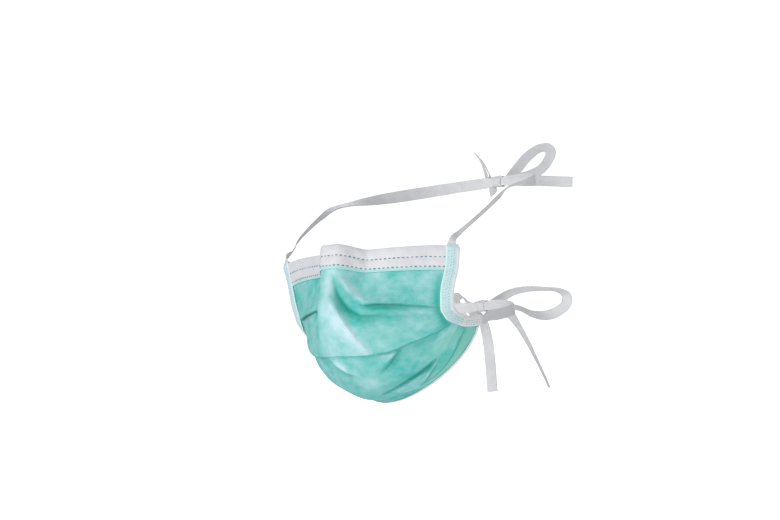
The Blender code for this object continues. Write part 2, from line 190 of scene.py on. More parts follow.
# %% [markdown]
# The worn form of the cloth is one smooth surface. It is drawn by sections, lines that run from the
# middle of the mask out to a side edge. Each section is a Bezier curve, and a smooth curve through the
# table gives the sections in between. The table is the one that the solids were made from, so the
# cloth lies where its solid lies.

# %% The table of sections
HALF_SPAN = 71.5 * MM
REACH = 69 * MM
DROP = 110 * MM
NOSE_FORWARD = 13 * MM
NOSE_UP = 7 * MM
NOSE_FLAT = 5 * MM
NOSE_FOOT = 20 * MM
ARC_SAMPLES = 80


class Section(NamedTuple):
    """Shares of HALF_SPAN sideways, REACH to the back and DROP down, and of the ridge's three lengths."""

    along: float
    middle_back: float
    middle_down: float
    front_out: float
    front_down: float
    cheek_out: float
    cheek_back: float
    cheek_down: float
    side_out: float
    side_back: float
    side_down: float
    nose_forward: float
    nose_up: float
    nose_foot: float


SECTIONS = (
    Section(0.00, 0.17, 0.07, 0.36, 0.07, 0.80, 0.43, 0.08, 1.00, 0.59, 0.13, 0.92, 1.00, 1.00),
    Section(0.10, 0.12, 0.18, 0.34, 0.18, 0.76, 0.39, 0.20, 0.965, 0.57, 0.245, 0.96, 0.85, 1.00),
    Section(0.20, 0.00, 0.27, 0.30, 0.28, 0.72, 0.36, 0.33, 0.92, 0.52, 0.355, 0.75, 0.40, 0.90),
    Section(0.30, -0.13, 0.355, 0.27, 0.365, 0.70, 0.36, 0.455, 0.888, 0.514, 0.456, 0.46, 0.14, 0.75),
    Section(0.43, -0.18, 0.50, 0.27, 0.51, 0.70, 0.36, 0.55, 0.881, 0.536, 0.482, 0.10, 0.00, 0.75),
    Section(0.57, -0.11, 0.665, 0.30, 0.68, 0.73, 0.36, 0.62, 0.874, 0.568, 0.502, 0.00, 0.00, 0.75),
    Section(0.70, 0.04, 0.82, 0.32, 0.83, 0.78, 0.43, 0.70, 0.864, 0.659, 0.535, 0.00, 0.00, 0.75),
    Section(0.87, 0.28, 0.95, 0.32, 0.95, 0.81, 0.57, 0.77, 0.853, 0.761, 0.557, 0.00, 0.00, 0.75),
    Section(1.00, 0.52, 1.00, 0.35, 1.00, 0.80, 0.90, 0.80, 0.825, 1.00, 0.572, 0.00, 0.00, 0.75),
)
print("sections:", len(SECTIONS))

# %% [markdown]
# Places on the cloth are measured along the cloth itself: across from -1 to 1, and along from 0 at the
# top edge to 1 at the lower edge. A crease then stays where it is on the cloth when the form changes.

# %% The worn form of the cloth
FLARE = 2.2 * MM  # the right edge stands a little away
FLARE_WAY = (-0.75, -0.66, 0)
FLARE_WIDTH = 0.16
CHUNK = 20000


def smooth_between(rows, positions):
    """Rows at these positions of the table's first column, on a smooth curve through all its rows."""
    table = np.array(rows, dtype=float)
    stations = table[:, 0]
    lean = np.gradient(table, stations, axis=0)
    i = np.clip(np.searchsorted(stations, positions) - 1, 0, len(stations) - 2)
    span = stations[i + 1] - stations[i]
    s = ((positions - stations[i]) / span)[:, None]
    span = span[:, None]
    held = (1 + 2 * s) * (1 - s) ** 2 * table[i] + s * s * (3 - 2 * s) * table[i + 1]
    return held + s * (1 - s) ** 2 * span * lean[i] + s * s * (s - 1) * span * lean[i + 1]


def fade(value):
    """0 below 0, 1 above 1, and a smooth rise between them."""
    s = np.clip(value, 0, 1)
    return s * s * (3 - 2 * s)


def half_lines(along):
    """Points and running lengths of the sections at these places, from the middle to the side."""
    rows = smooth_between(SECTIONS, along)
    section = Section(*rows.T[:, :, None])
    t = np.linspace(0, 1, ARC_SAMPLES)[None, :]
    weights = ((1 - t) ** 3, 3 * (1 - t) ** 2 * t, 3 * (1 - t) * t**2, t**3)
    outs = (0, section.front_out, section.cheek_out, section.side_out)
    backs = (section.middle_back, section.middle_back, section.cheek_back, section.side_back)
    downs = (section.middle_down, section.front_down, section.cheek_down, section.side_down)
    x = HALF_SPAN * sum(w * v for w, v in zip(weights, outs))
    y = REACH * sum(w * v for w, v in zip(weights, backs))
    z = -DROP * sum(w * v for w, v in zip(weights, downs))
    foot = NOSE_FOOT * section.nose_foot
    bridge = 1 - fade((x - NOSE_FLAT) / (foot - NOSE_FLAT))
    y = y - bridge * NOSE_FORWARD * section.nose_forward
    z = z + bridge * NOSE_UP * section.nose_up
    points = np.stack((x, y, z), axis=-1)
    steps = np.linalg.norm(np.diff(points, axis=1), axis=2)
    return points, np.concatenate((np.zeros((len(steps), 1)), np.cumsum(steps, axis=1)), axis=1)


def form(across, along):
    """Points of the smooth form at arrays of places on the cloth."""
    across, along = np.broadcast_arrays(np.asarray(across, float), np.asarray(along, float))
    shape = across.shape
    across, along = across.ravel(), np.clip(along.ravel(), 0, 1)
    found = np.empty((len(across), 3))
    for start in range(0, len(across), CHUNK):
        part = slice(start, start + CHUNK)
        points, lengths = half_lines(along[part])
        reach = np.abs(across[part]) * lengths[:, -1]
        i = np.clip((lengths < reach[:, None]).sum(axis=1) - 1, 0, ARC_SAMPLES - 2)
        n = np.arange(len(i))
        share = ((reach - lengths[n, i]) / (lengths[n, i + 1] - lengths[n, i]))[:, None]
        place = points[n, i] * (1 - share) + points[n, i + 1] * share
        place[:, 0] *= np.sign(across[part])
        flare = fade((-across[part] - (1 - FLARE_WIDTH)) / FLARE_WIDTH)[:, None]
        found[part] = place + flare * FLARE * np.array(FLARE_WAY)
    return found.reshape(*shape, 3)


form_box = form(np.linspace(-1, 1, 41)[:, None], np.linspace(0, 1, 41)[None, :]).reshape(-1, 3)
print("form from", form_box.min(axis=0).round(3), "to", form_box.max(axis=0).round(3))

# %% [markdown]
# Everything that lies on the cloth needs to know which way the cloth faces and how wide it is there.
# The directions are differences between near points of the form, and the widths come from a table.

# %% Directions and widths on the cloth
SLOPE_STEP = 0.006


def unit(vectors):
    """The same directions, each one long."""
    return vectors / np.linalg.norm(vectors, axis=-1, keepdims=True)


def slopes(across, along):
    """Unit directions of the form: sideways to the left side, down the cloth, and outwards."""
    to_left, to_right = np.minimum(across + SLOPE_STEP, 1), np.maximum(across - SLOPE_STEP, -1)
    lower, higher = np.minimum(along + SLOPE_STEP, 1), np.maximum(along - SLOPE_STEP, 0)
    sideways = unit(form(to_left, along) - form(to_right, along))
    down = unit(form(across, lower) - form(across, higher))
    return sideways, down, unit(np.cross(down, sideways))


WIDTH_STATIONS = np.linspace(0, 1, 101)
WIDTHS = half_lines(WIDTH_STATIONS)[1][:, -1]


def half_width(along):
    """Length of cloth from the middle to the side edge at these places."""
    return np.interp(np.clip(np.asarray(along, float), 0, 1), WIDTH_STATIONS, WIDTHS)


middle = form(np.zeros(200), np.linspace(0, 1, 200))
PANEL_HEIGHT = float(np.linalg.norm(np.diff(middle, axis=0), axis=1).sum())
print("panel:", round(2000 * float(half_width(0.5)), 1), "by", round(1000 * PANEL_HEIGHT, 1), "mm as worn")

# %% [markdown]
# A cloth piece starts as a grid of points. The helper below joins the grid into faces that look outwards,
# writes the place on the cloth as the UV map, so that a weave follows the cloth, and gives the sheet its
# thickness with a Solidify modifier that is applied at once. A closed thin wall is what real cloth is, and it
# makes a clean closed body.

# %% A helper that makes one sheet of cloth
UV_UNIT = 100 * MM  # one unit of a UV map is 100 mm of cloth


def finished(holder, name):
    """A plain mesh piece from an object and its modifiers, without the object."""
    bpy.context.view_layer.update()
    evaluated = holder.evaluated_get(bpy.context.evaluated_depsgraph_get())
    mesh = bpy.data.meshes.new_from_object(evaluated)
    bpy.data.objects.remove(holder)
    mesh.name = name
    piece = bpy.data.objects.new(name, mesh)
    bpy.context.scene.collection.objects.link(piece)
    return piece


def cloth(name, points, places, wall, materials, attributes=None, same=None):
    """A closed sheet of little thickness from a grid of outer points, rows running down and columns to the
    left side.

    The inner face takes the last material, but where same is true for a grid face both take the first.
    """
    rows, columns = points.shape[:2]
    number = np.arange(rows * columns).reshape(rows, columns)
    a, b, c, d = number[:-1, :-1], number[1:, :-1], number[1:, 1:], number[:-1, 1:]
    faces = np.stack((a, b, c, d), axis=-1).reshape(-1, 4)
    mesh = bpy.data.meshes.new(name)
    mesh.from_pydata(points.reshape(-1, 3).tolist(), [], faces.tolist())
    mesh.shade_smooth()
    uv = places.reshape(-1, 2)[faces.ravel()] / UV_UNIT
    mesh.uv_layers.new(name="cloth").data.foreach_set("uv", uv.astype(np.float32).ravel())
    for title, values in (attributes or {}).items():
        layer = mesh.attributes.new(title, "FLOAT", "POINT")
        layer.data.foreach_set("value", np.ascontiguousarray(values, dtype=np.float32).ravel())
    for finish in materials:
        mesh.materials.append(finish)
    if same is not None:
        mesh.attributes.new("same", "BOOLEAN", "FACE").data.foreach_set("value", same.ravel())
    holder = bpy.data.objects.new(name + "_sheet", mesh)
    bpy.context.scene.collection.objects.link(holder)
    thicken = holder.modifiers.new("wall", "SOLIDIFY")
    thicken.thickness = wall
    thicken.offset = -1
    thicken.use_quality_normals = True
    thicken.material_offset = len(materials) - 1
    piece = finished(holder, name)
    if same is not None:
        for polygon, alike in zip(piece.data.polygons, piece.data.attributes["same"].data):
            if alike.value:
                polygon.material_index = 0
        piece.data.attributes.remove(piece.data.attributes["same"])
    return piece


def settle(piece, node=None):
    """Hands a finished piece over: the solid that it replaces and its body."""
    if node is not None:
        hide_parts(node)
    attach(piece, "root")
    print(piece.name, "triangles:", sum(len(p.vertices) - 2 for p in piece.data.polygons))


print("UV unit:", UV_UNIT, "m")

# %% [markdown]
# Spunbond is a felt of endless plastic fibres, pressed together at a lattice of small points. From a few
# steps away it shows three things: pale and dark clouds where the fibres lie thick or thin, the lattice of
# pressed points, and a soft pale gloss from the fibres themselves. Light and shade are also painted into the
# colour. The mint is painted deep in the folds as painted shade and pale over the ridge and the flat front as
# a painted highlight. Where one layer hangs free it is painted a lighter, warmer mint as a painted glow. The
# folds leave these painted marks on the mesh as attributes, and the colour reads them. The finish is made of
# noise and waves and not of a picture, so it can be worked out from real lengths.

# %% The finish of spunbond cloth
BOND_PITCH = 1.7 * MM  # the real lattice is nearer 1 mm, too fine for this image
CLOUD_SIZE = 7 * MM
FIBRE_STREAKS = (60, 330, 1)  # for each UV unit: long across the mask, where the roll ran, and thin down it
CLOUD_TONE = 0.55
BOND_TONE = 0.22
BOND_GLOSS = 0.25  # how much smoother a pressed point is
POLYPROPYLENE_IOR = 1.49
# the lighter mint of the painted glow
GLOW_MINT = "#93E0C8"
# the dark mint of the painted shadow in the sharpest folds
SHADED_MINT = "#118F88"


def spunbond(name, body, deep, pale, roughness, shading=True):
    """A spunbond polypropylene finish: fibre clouds, pressed points and a soft fibre sheen."""
    finish = bpy.data.materials.new(name)
    finish.use_nodes = True
    tree = finish.node_tree
    shader = tree.nodes["Principled BSDF"]
    uv = add(tree, "ShaderNodeUVMap", uv_map="cloth").outputs["UV"]
    cloud_scale = (UV_UNIT / CLOUD_SIZE, UV_UNIT / CLOUD_SIZE, 1)
    place = add(tree, "ShaderNodeMapping", {"Vector": uv, "Scale": cloud_scale}).outputs["Vector"]
    felt = {"Vector": place, "Scale": 1.0, "Detail": 5.0, "Roughness": 0.62}
    clouds = add(tree, "ShaderNodeTexNoise", felt)
    wide = add(tree, "ShaderNodeTexNoise", {"Vector": place, "Scale": 0.27, "Detail": 2.0})
    both = add(tree, "ShaderNodeMath", {0: clouds.outputs["Fac"], 1: wide.outputs["Fac"]}, operation="ADD")
    cloud = add(tree, "ShaderNodeMapRange", {"Value": both.outputs[0], "From Min": 0.78, "From Max": 1.34})
    run = add(tree, "ShaderNodeMapping", {"Vector": uv, "Scale": FIBRE_STREAKS}).outputs["Vector"]
    streaks = add(tree, "ShaderNodeTexNoise", {"Vector": run, "Scale": 1.0, "Detail": 3.0})
    # the lattice of pressed points is the sum of two slanting waves
    turned = add(tree, "ShaderNodeMapping", {"Vector": uv, "Rotation": (0, 0, pi / 4)}).outputs["Vector"]
    apart = add(tree, "ShaderNodeSeparateXYZ", {"Vector": turned})
    waves = []
    for axis in ("X", "Y"):
        turns = {0: apart.outputs[axis], 1: 2 * pi * UV_UNIT / BOND_PITCH}
        phase = add(tree, "ShaderNodeMath", turns, operation="MULTIPLY")
        waves.append(add(tree, "ShaderNodeMath", {0: phase.outputs[0]}, operation="COSINE").outputs[0])
    lattice = add(tree, "ShaderNodeMath", {0: waves[0], 1: waves[1]}, operation="ADD")
    peaks = {"Value": lattice.outputs[0], "From Min": 1.0, "From Max": 1.9}
    pressed = add(tree, "ShaderNodeMapRange", peaks).outputs["Result"]
    # the colour is laid on in layers, each with its own share; the marks lay on a painted highlight, a
    # painted glow, painted shade and a painted shadow
    mix = {"Factor": cloud.outputs["Result"], 6: linear(body), 7: linear(pale)}
    tone = add(tree, "ShaderNodeMix", mix, **RGBA)
    mix = {"Factor": CLOUD_TONE, 6: linear(body), 7: tone.outputs[2]}
    colour = add(tree, "ShaderNodeMix", mix, **RGBA).outputs[2]
    layers = []
    if shading:
        # painted light and shade, read from the marks on the mesh
        titles = ("painted_highlight", "painted_glow", "painted_shade", "shaded")
        mark = {t: add(tree, "ShaderNodeAttribute", attribute_name=t).outputs["Fac"] for t in titles}
        uneven = {"Value": cloud.outputs["Result"], "To Min": 0.62, "To Max": 1.25}
        patchy = add(tree, "ShaderNodeMapRange", uneven).outputs["Result"]
        terms = {0: mark["painted_highlight"], 1: patchy}
        share = add(tree, "ShaderNodeMath", terms, operation="MULTIPLY", use_clamp=True)
        layers = [(share.outputs[0], pale), (mark["painted_glow"], GLOW_MINT), (mark["painted_shade"], deep)]
        layers.append((mark["shaded"], SHADED_MINT))
    dots = add(tree, "ShaderNodeMath", {0: pressed, 1: BOND_TONE}, operation="MULTIPLY")
    for factor, code in layers + [(dots.outputs[0], deep)]:
        mix = {"Factor": factor, 6: colour, 7: linear(code)}
        colour = add(tree, "ShaderNodeMix", mix, **RGBA).outputs[2]
    tree.links.new(colour, shader.inputs["Base Color"])
    gloss = {"Value": pressed, "To Min": roughness, "To Max": roughness - BOND_GLOSS}
    tree.links.new(add(tree, "ShaderNodeMapRange", gloss).outputs["Result"], shader.inputs["Roughness"])
    shader.inputs["IOR"].default_value = POLYPROPYLENE_IOR
    shader.inputs["Sheen Weight"].default_value = 0.12
    shader.inputs["Sheen Roughness"].default_value = 0.45
    relief = {"Strength": 0.5, "Distance": 0.12 * MM, "Height": streaks.outputs["Fac"]}
    normal = add(tree, "ShaderNodeBump", relief).outputs["Normal"]
    relief = {"Strength": 0.35, "Distance": 0.25 * MM, "Height": clouds.outputs["Fac"], "Normal": normal}
    normal = add(tree, "ShaderNodeBump", relief).outputs["Normal"]
    relief = {"Strength": 0.5, "Distance": 0.10 * MM, "Height": pressed, "Normal": normal}
    normal = add(tree, "ShaderNodeBump", relief, invert=True).outputs["Normal"]
    tree.links.new(normal, shader.inputs["Normal"])
    return finish


mint_spunbond = spunbond("mint spunbond polypropylene", "#46C6BC", "#04AC9B", "#D8F5FC", 0.62)
lining_spunbond = spunbond("white spunbond lining", "#EDEEEE", "#CFD6D6", "#F6F6F6", 0.7, shading=False)
print("finishes:", mint_spunbond.name, "and", lining_spunbond.name)

# %% [markdown]
# The body is made from one flat sheet with three pleats, all facing down. A pleat is a letter S in the
# cloth: the outer layer runs down to a fold, turns back up underneath, and turns down again. In the
# middle of the mask the pleats open, and they stay shut towards the sides, where the bindings hold
# them. A pleat's table says where its fold runs and how far it is shut.

# %% The three pleats
PLEAT_STEP = 2.2 * MM
PLEAT_RISE = 15 * MM
PLEAT_LAP = 4.5 * MM  # how far the cloth runs back up under a fold
BINDING_WIDTH = 7.6 * MM
NOSE_BAND_HEIGHT = 13 * MM
LOWER_HEM_HEIGHT = 2.4 * MM
SIDE_FADE = 14 * MM


class Pleat(NamedTuple):
    """The line of one fold: places across the cloth, the place along there, and how far it is shut."""

    name: str
    rest: float
    across: tuple
    along: tuple
    shut: tuple


PLEATS = (
    Pleat(
        "upper",
        0.30,
        (-1.00, -0.70, -0.35, -0.15, -0.04, 0.15, 0.28, 0.40, 0.60, 0.75, 0.92, 1.0),
        (0.300, 0.300, 0.307, 0.308, 0.307, 0.300, 0.294, 0.288, 0.286, 0.292, 0.307, 0.31),
        (1.00, 1.00, 0.80, 0.45, 0.00, 0.00, 0.30, 1.00, 0.90, 0.75, 0.70, 0.7),
    ),
    Pleat(
        "middle",
        0.57,
        (-1.00, -0.60, -0.30, -0.14, 0.12, 0.26, 0.39, 0.58, 0.75, 0.92, 1.0),
        (0.620, 0.600, 0.570, 0.557, 0.564, 0.577, 0.586, 0.588, 0.605, 0.636, 0.64),
        (1.00, 0.90, 0.55, 0.35, 0.30, 0.35, 0.60, 0.80, 0.90, 1.00, 1.0),
    ),
    Pleat(
        "lower",
        0.87,
        (-1.00, -0.60, -0.20, 0.10, 0.30, 0.45, 0.60, 0.75, 0.92, 1.0),
        (0.870, 0.880, 0.890, 0.910, 0.925, 0.930, 0.920, 0.890, 0.870, 0.87),
        (1.00, 0.70, 0.20, 0.20, 0.55, 0.80, 0.95, 1.00, 1.00, 1.0),
    ),
)
for pleat in PLEATS:
    print(pleat.name, "pleat runs from", pleat.along[0], "to", pleat.along[-1], "along the cloth")

# %% [markdown]
# Every row of points through a fold knows how far it slides back up under the fold when its pleat is
# shut, and where it lies when the pleat is open, so one table gives both.

# %% The rows of points through a fold
class Fold(NamedTuple):
    """One row of points through a pleat: below the fold if open, below it and its lap if shut."""

    open_mm: float
    shut_mm: float
    lap: float
    lift: float


FOLD_ROWS = (
    Fold(-0.9, 0.00, 0.00, 1.00),
    Fold(-0.6, 0.20, 0.00, 0.93),
    Fold(-0.3, 0.26, 0.00, 0.76),
    Fold(0.0, 0.10, 0.00, 0.56),
    Fold(0.3, 0.00, -0.50, 0.30),
    Fold(0.6, 0.00, -1.00, 0.15),
    Fold(0.8, -0.20, -1.03, 0.10),
    Fold(1.0, 0.00, -1.00, 0.05),
    Fold(1.3, 0.00, -0.50, 0.00),
    Fold(1.6, 0.00, -0.05, 0.00),
    Fold(2.0, 0.70, 0.00, 0.00),
)


def between(stations, values, places):
    """Values at these places, on a smooth curve through the stations."""
    return smooth_between(np.column_stack((stations, values)), places)[:, 1]


print("rows through a fold:", len(FOLD_ROWS))

# %% [markdown]
# Now the grid itself. The rows are close together at each fold and about 0.8 mm apart elsewhere. A row
# at the height of a pleat follows that pleat's line, and rows between two pleats are shared out
# between their lines. The columns run straight down the cloth.

# %% The rows and columns of the body
ROW = 0.82 * MM
COLUMNS = 208
FOLD_ABOVE = 1.2 * MM  # the fold's own rows start this far above its line
FOLD_BELOW = 2.6 * MM

across_line = np.linspace(-1, 1, COLUMNS + 1)
fold_from = FOLD_ABOVE / PANEL_HEIGHT
fold_to = FOLD_BELOW / PANEL_HEIGHT
marks = [0.0] + [pleat.rest + gap for pleat in PLEATS for gap in (-fold_from, fold_to)] + [1.0]
row_list = []
for k, (start, end) in enumerate(zip(marks, marks[1:])):
    if k % 2 == 0:
        count = max(2, round((end - start) * PANEL_HEIGHT / ROW))
        row_list += [(start + (end - start) * i / count, None, None) for i in range(count + 1)]
    else:
        row_list += [(PLEATS[k // 2].rest, PLEATS[k // 2], fold) for fold in FOLD_ROWS]

stops = [0.0] + [pleat.rest for pleat in PLEATS] + [1.0]
pleat_lines = [between(pleat.across, pleat.along, across_line) for pleat in PLEATS]
stop_lines = np.stack([np.zeros_like(across_line), *pleat_lines, np.ones_like(across_line)])
shut_lines = {pleat.name: np.clip(between(pleat.across, pleat.shut, across_line), 0, 1) for pleat in PLEATS}
print("rows:", len(row_list), "columns:", COLUMNS + 1)

# %% [markdown]
# A shut pleat lifts the cloth above its fold, slowly at first and most at the fold, and the cloth below
# starts flat again. Near the side edges the bindings press everything down.

# %% How high each row stands
LAP_HEIGHT = 0.55 * MM  # a fold stands at least this high before the cloth laps under it
LAP_BLEND = 0.45 * MM
UNDER_BINDING = 3 * MM

from_binding = (1 - np.abs(across_line)) * float(half_width(0.5)) - BINDING_WIDTH
under_binding = 0.15 + 0.25 * fade(1 + from_binding / UNDER_BINDING)
beside_binding = 0.40 + 0.60 * fade(from_binding / SIDE_FADE)
side_hold = np.where(from_binding < 0, under_binding, beside_binding)


def warped(rest):
    """The place along the cloth of a row, which follows the lines of the pleats above and below it."""
    k = min(int(np.searchsorted(stops, rest, side="right")) - 1, len(stops) - 2)
    share = (rest - stops[k]) / (stops[k + 1] - stops[k])
    return stop_lines[k] * (1 - share) + stop_lines[k + 1] * share


def pleat_rise(rest):
    """How far the shut pleats lift a row: a slow rise above each fold, nothing below it."""
    lift = np.zeros_like(across_line)
    for pleat in PLEATS:
        gap = (rest - pleat.rest) * PANEL_HEIGHT
        if -PLEAT_RISE < gap <= 0:
            lift = np.maximum(lift, (1 + gap / PLEAT_RISE) ** 1.3 * shut_lines[pleat.name])
    return lift


rows_along, rows_lift = [], []
for rest, pleat, fold in row_list:
    if fold is None:
        rows_along.append(warped(rest))
        rows_lift.append(pleat_rise(rest))
        continue
    # the cloth laps under the fold only where the fold stands high enough for three layers
    height = shut_lines[pleat.name] * side_hold * PLEAT_STEP
    shut = fade((height - LAP_HEIGHT) / LAP_BLEND)
    opened = fold.open_mm * MM / PANEL_HEIGHT
    closed = (fold.shut_mm * MM + fold.lap * PLEAT_LAP * shut) / PANEL_HEIGHT
    rows_along.append(stop_lines[stops.index(pleat.rest)] + opened * (1 - shut) + closed * shut)
    open_lift = 1 - fold.open_mm / 2 if fold.open_mm > 0 else 1
    rows_lift.append((fold.lift * shut + open_lift * (1 - shut)) * shut_lines[pleat.name])
along_grid = np.array(rows_along)
lift_grid = np.array(rows_lift)
across_grid = np.broadcast_to(across_line, along_grid.shape)
print("grid:", along_grid.shape)

# %% [markdown]
# Worn cloth has more than its pleats: a valley beside the ridge, flat facets with soft edges between
# them, and short creases. Each is a line on the cloth with a soft side and a sharp side. Tables are the
# honest way to place them, because no two masks crease the same.

# %% The creases and dents of this mask
class Crease(NamedTuple):
    """A line through places on the cloth, the widths of its upper and lower side, and its height, in mm."""

    line: tuple
    above: float
    below: float
    height: float


CREASES = (
    # the valley beside the ridge, and its run out to the side
    Crease(
        ((0.045, 0.150), (0.10, 0.225), (0.15, 0.271), (0.20, 0.314), (0.275, 0.347), (0.46, 0.340)),
        2.0,
        3.2,
        -2.6,
    ),
    Crease(((-0.12, 0.20), (-0.20, 0.33)), 3.0, 3.0, -1.4),
    # the pale roll of cloth above the valley
    Crease(((0.12, 0.16), (0.21, 0.235), (0.33, 0.276)), 2.6, 1.6, 1.1),
    # a small tuck that crosses the valley
    Crease(((0.25, 0.354), (0.36, 0.336), (0.52, 0.308)), 1.2, 2.0, 0.5),
    # the edges of the flat three-cornered front
    Crease(((0.06, 0.27), (0.15, 0.42), (0.255, 0.575)), 1.8, 6.0, 1.9),
    Crease(((-0.08, 0.34), (-0.20, 0.55)), 2.6, 5.0, 1.6),
    # the diagonal folds below the second pleat, with a small flap between them
    Crease(((0.475, 0.590), (0.40, 0.616), (0.32, 0.648), (0.24, 0.668)), 3.6, 0.8, 1.7),
    Crease(((0.50, 0.603), (0.42, 0.634), (0.34, 0.666), (0.26, 0.688)), 0.8, 3.0, -1.2),
    Crease(((-0.11, 0.578), (-0.05, 0.615), (0.012, 0.652), (0.045, 0.600)), 3.0, 0.9, 1.3),
    # the deep line and the sliver of cloth that stands up above the third pleat
    Crease(((0.62, 0.822), (0.51, 0.834), (0.375, 0.830), (0.14, 0.846)), 1.6, 0.7, -1.7),
    Crease(((0.66, 0.826), (0.51, 0.848), (0.375, 0.849), (0.16, 0.868)), 0.7, 2.0, 1.5),
    Crease(((0.64, 0.830), (0.53, 0.862), (0.413, 0.900), (0.25, 0.945), (0.10, 0.980)), 2.4, 0.8, 1.2),
    Crease(((-0.60, 0.66), (-0.30, 0.80)), 4.0, 4.0, 1.3),
    # short folds that fan out from the side binding
    Crease(((0.92, 0.648), (0.80, 0.666)), 0.8, 2.0, 1.0),
    Crease(((0.93, 0.735), (0.84, 0.770), (0.72, 0.800)), 1.0, 2.2, 0.9),
    # low waves towards the side
    Crease(((0.50, 0.20), (0.75, 0.24)), 4.0, 4.0, 0.6),
    Crease(((0.35, 0.24), (0.55, 0.21)), 3.0, 3.0, -0.6),
    Crease(((0.60, 0.160), (0.86, 0.175)), 2.5, 2.5, 0.4),
    Crease(((0.45, 0.42), (0.85, 0.36)), 5.0, 5.0, 0.7),
    Crease(((0.35, 0.48), (0.70, 0.47)), 6.0, 5.0, -0.6),
    Crease(((0.30, 0.75), (0.60, 0.72)), 6.0, 5.0, 0.6),
)


def nearness(row, across, along):
    """1 on the line of a table's row and less away from it, by the widths of its two sides."""
    width = half_width(along)
    x, y = across * width, along * PANEL_HEIGHT
    nearest = np.full(np.shape(width), np.inf)
    reached = np.zeros(np.shape(width))
    pieces = len(row.line) - 1
    for n, ((from_across, from_along), (to_across, to_along)) in enumerate(zip(row.line, row.line[1:])):
        off_x, off_y = x - from_across * width, y - from_along * PANEL_HEIGHT
        run_x, run_y = (to_across - from_across) * width, (to_along - from_along) * PANEL_HEIGHT
        share = np.clip((off_x * run_x + off_y * run_y) / (run_x**2 + run_y**2), 0, 1)
        off_x, off_y = off_x - run_x * share, off_y - run_y * share
        # the upper side of a line is the one nearer the top edge
        lower = (run_x * off_y - run_y * off_x) * np.where(run_x >= 0, 1, -1) > 0
        gap = np.hypot(off_x, off_y) / (np.where(lower, row.below, row.above) * MM)
        reached = np.where(gap < nearest, (n + share) / pieces, reached)
        nearest = np.minimum(nearest, gap)
    # a fold runs out softly at both ends
    return np.exp(-(nearest**1.4)) * (1 - 0.6 * np.abs(2 * reached - 1) ** 3)


print("creases:", len(CREASES))

# %% [markdown]
# The creases are added to the pleats, and both die away under the strips that hold the four edges. The
# whole relief is then set out from the smooth form along its outward direction.

# %% Lift the folds
PANEL_OUT = 0.55 * MM  # from the middle of the solid's wall to the outer face of the cloth
HEM_HOLD = 5 * MM

relief = lift_grid * PLEAT_STEP
for crease in CREASES:
    relief = relief + crease.height * MM * nearness(crease, across_grid, along_grid)
width_grid = half_width(along_grid)
from_side = (1 - np.abs(across_grid)) * width_grid - BINDING_WIDTH
from_top = along_grid * PANEL_HEIGHT - NOSE_BAND_HEIGHT
from_bottom = (1 - along_grid) * PANEL_HEIGHT - LOWER_HEM_HEIGHT
held = side_hold * fade(from_top / PLEAT_RISE) * fade(from_bottom / HEM_HOLD)
outwards = slopes(across_grid, along_grid)[2]
panel_points = form(across_grid, along_grid) + outwards * (PANEL_OUT + held * relief)[..., None]
print("highest fold:", round(1000 * float((held * relief).max()), 2), "mm")

# %% [markdown]
# The outer ply carries its marks for the colour in the same way, and all four are painted light or shade. The
# painted shade is high in the valleys and just below each fold, where less light arrives, and shaded is a
# darker painted shadow along the sharp bottoms of the deepest folds. The painted highlight is high on the
# ridge and on the flat front. The painted glow is a lighter mint where light would come through the cloth.

# %% The tables of tones
class Patch(NamedTuple):
    """A soft line through places on the cloth, its strength, and the widths of its two sides in mm."""

    line: tuple
    strength: float
    above: float
    below: float


# painted highlight over the ridge and the flat front
FRONT_HIGHLIGHT = (
    Patch(((0.015, 0.08), (0.015, 0.20), (0.035, 0.30)), 1.00, 4.6, 5.6),
    Patch(((0.03, 0.26), (0.155, 0.42), (0.27, 0.585)), 1.00, 2.6, 15.0),
    Patch(((-0.14, 0.50), (0.02, 0.48)), 0.55, 9.0, 9.0),
)
# painted highlights on ridges and raised flaps
HIGHLIGHT_PATCHES = (
    Patch(((-0.09, 0.582), (0.012, 0.642)), 0.85, 3.2, 0.8),
    Patch(((0.08, 0.15), (0.20, 0.215), (0.31, 0.272)), 0.85, 4.2, 1.8),
    Patch(((0.26, 0.355), (0.36, 0.338), (0.50, 0.312)), 0.35, 1.2, 1.6),
    Patch(((0.28, 0.596), (0.42, 0.606), (0.33, 0.632)), 0.75, 1.6, 1.2),
    Patch(((0.78, 0.69), (0.90, 0.665)), 0.50, 3.0, 4.0),
    Patch(((0.92, 0.725), (0.86, 0.745)), 0.60, 2.0, 2.0),
    Patch(((0.63, 0.832), (0.53, 0.860), (0.43, 0.888)), 0.70, 1.3, 0.9),
    Patch(((0.50, 0.850), (0.375, 0.853), (0.20, 0.870)), 0.35, 0.8, 2.0),
    Patch(((0.55, 0.15), (0.85, 0.16)), 0.30, 4.0, 4.0),
    Patch(((0.30, 0.125), (0.42, 0.145)), 0.40, 3.0, 3.0),
    Patch(((0.50, 0.44), (0.70, 0.42)), 0.18, 6.0, 6.0),
    Patch(((0.00, 0.72), (0.20, 0.74)), 0.28, 7.0, 7.0),
    Patch(((0.10, 0.60), (0.24, 0.61)), 0.35, 3.0, 4.0),
    Patch(((0.60, 0.33), (0.85, 0.35)), 0.25, 3.0, 4.0),
)
VALLEY = ((0.045, 0.150), (0.10, 0.225), (0.15, 0.271), (0.20, 0.314), (0.275, 0.352), (0.46, 0.352))
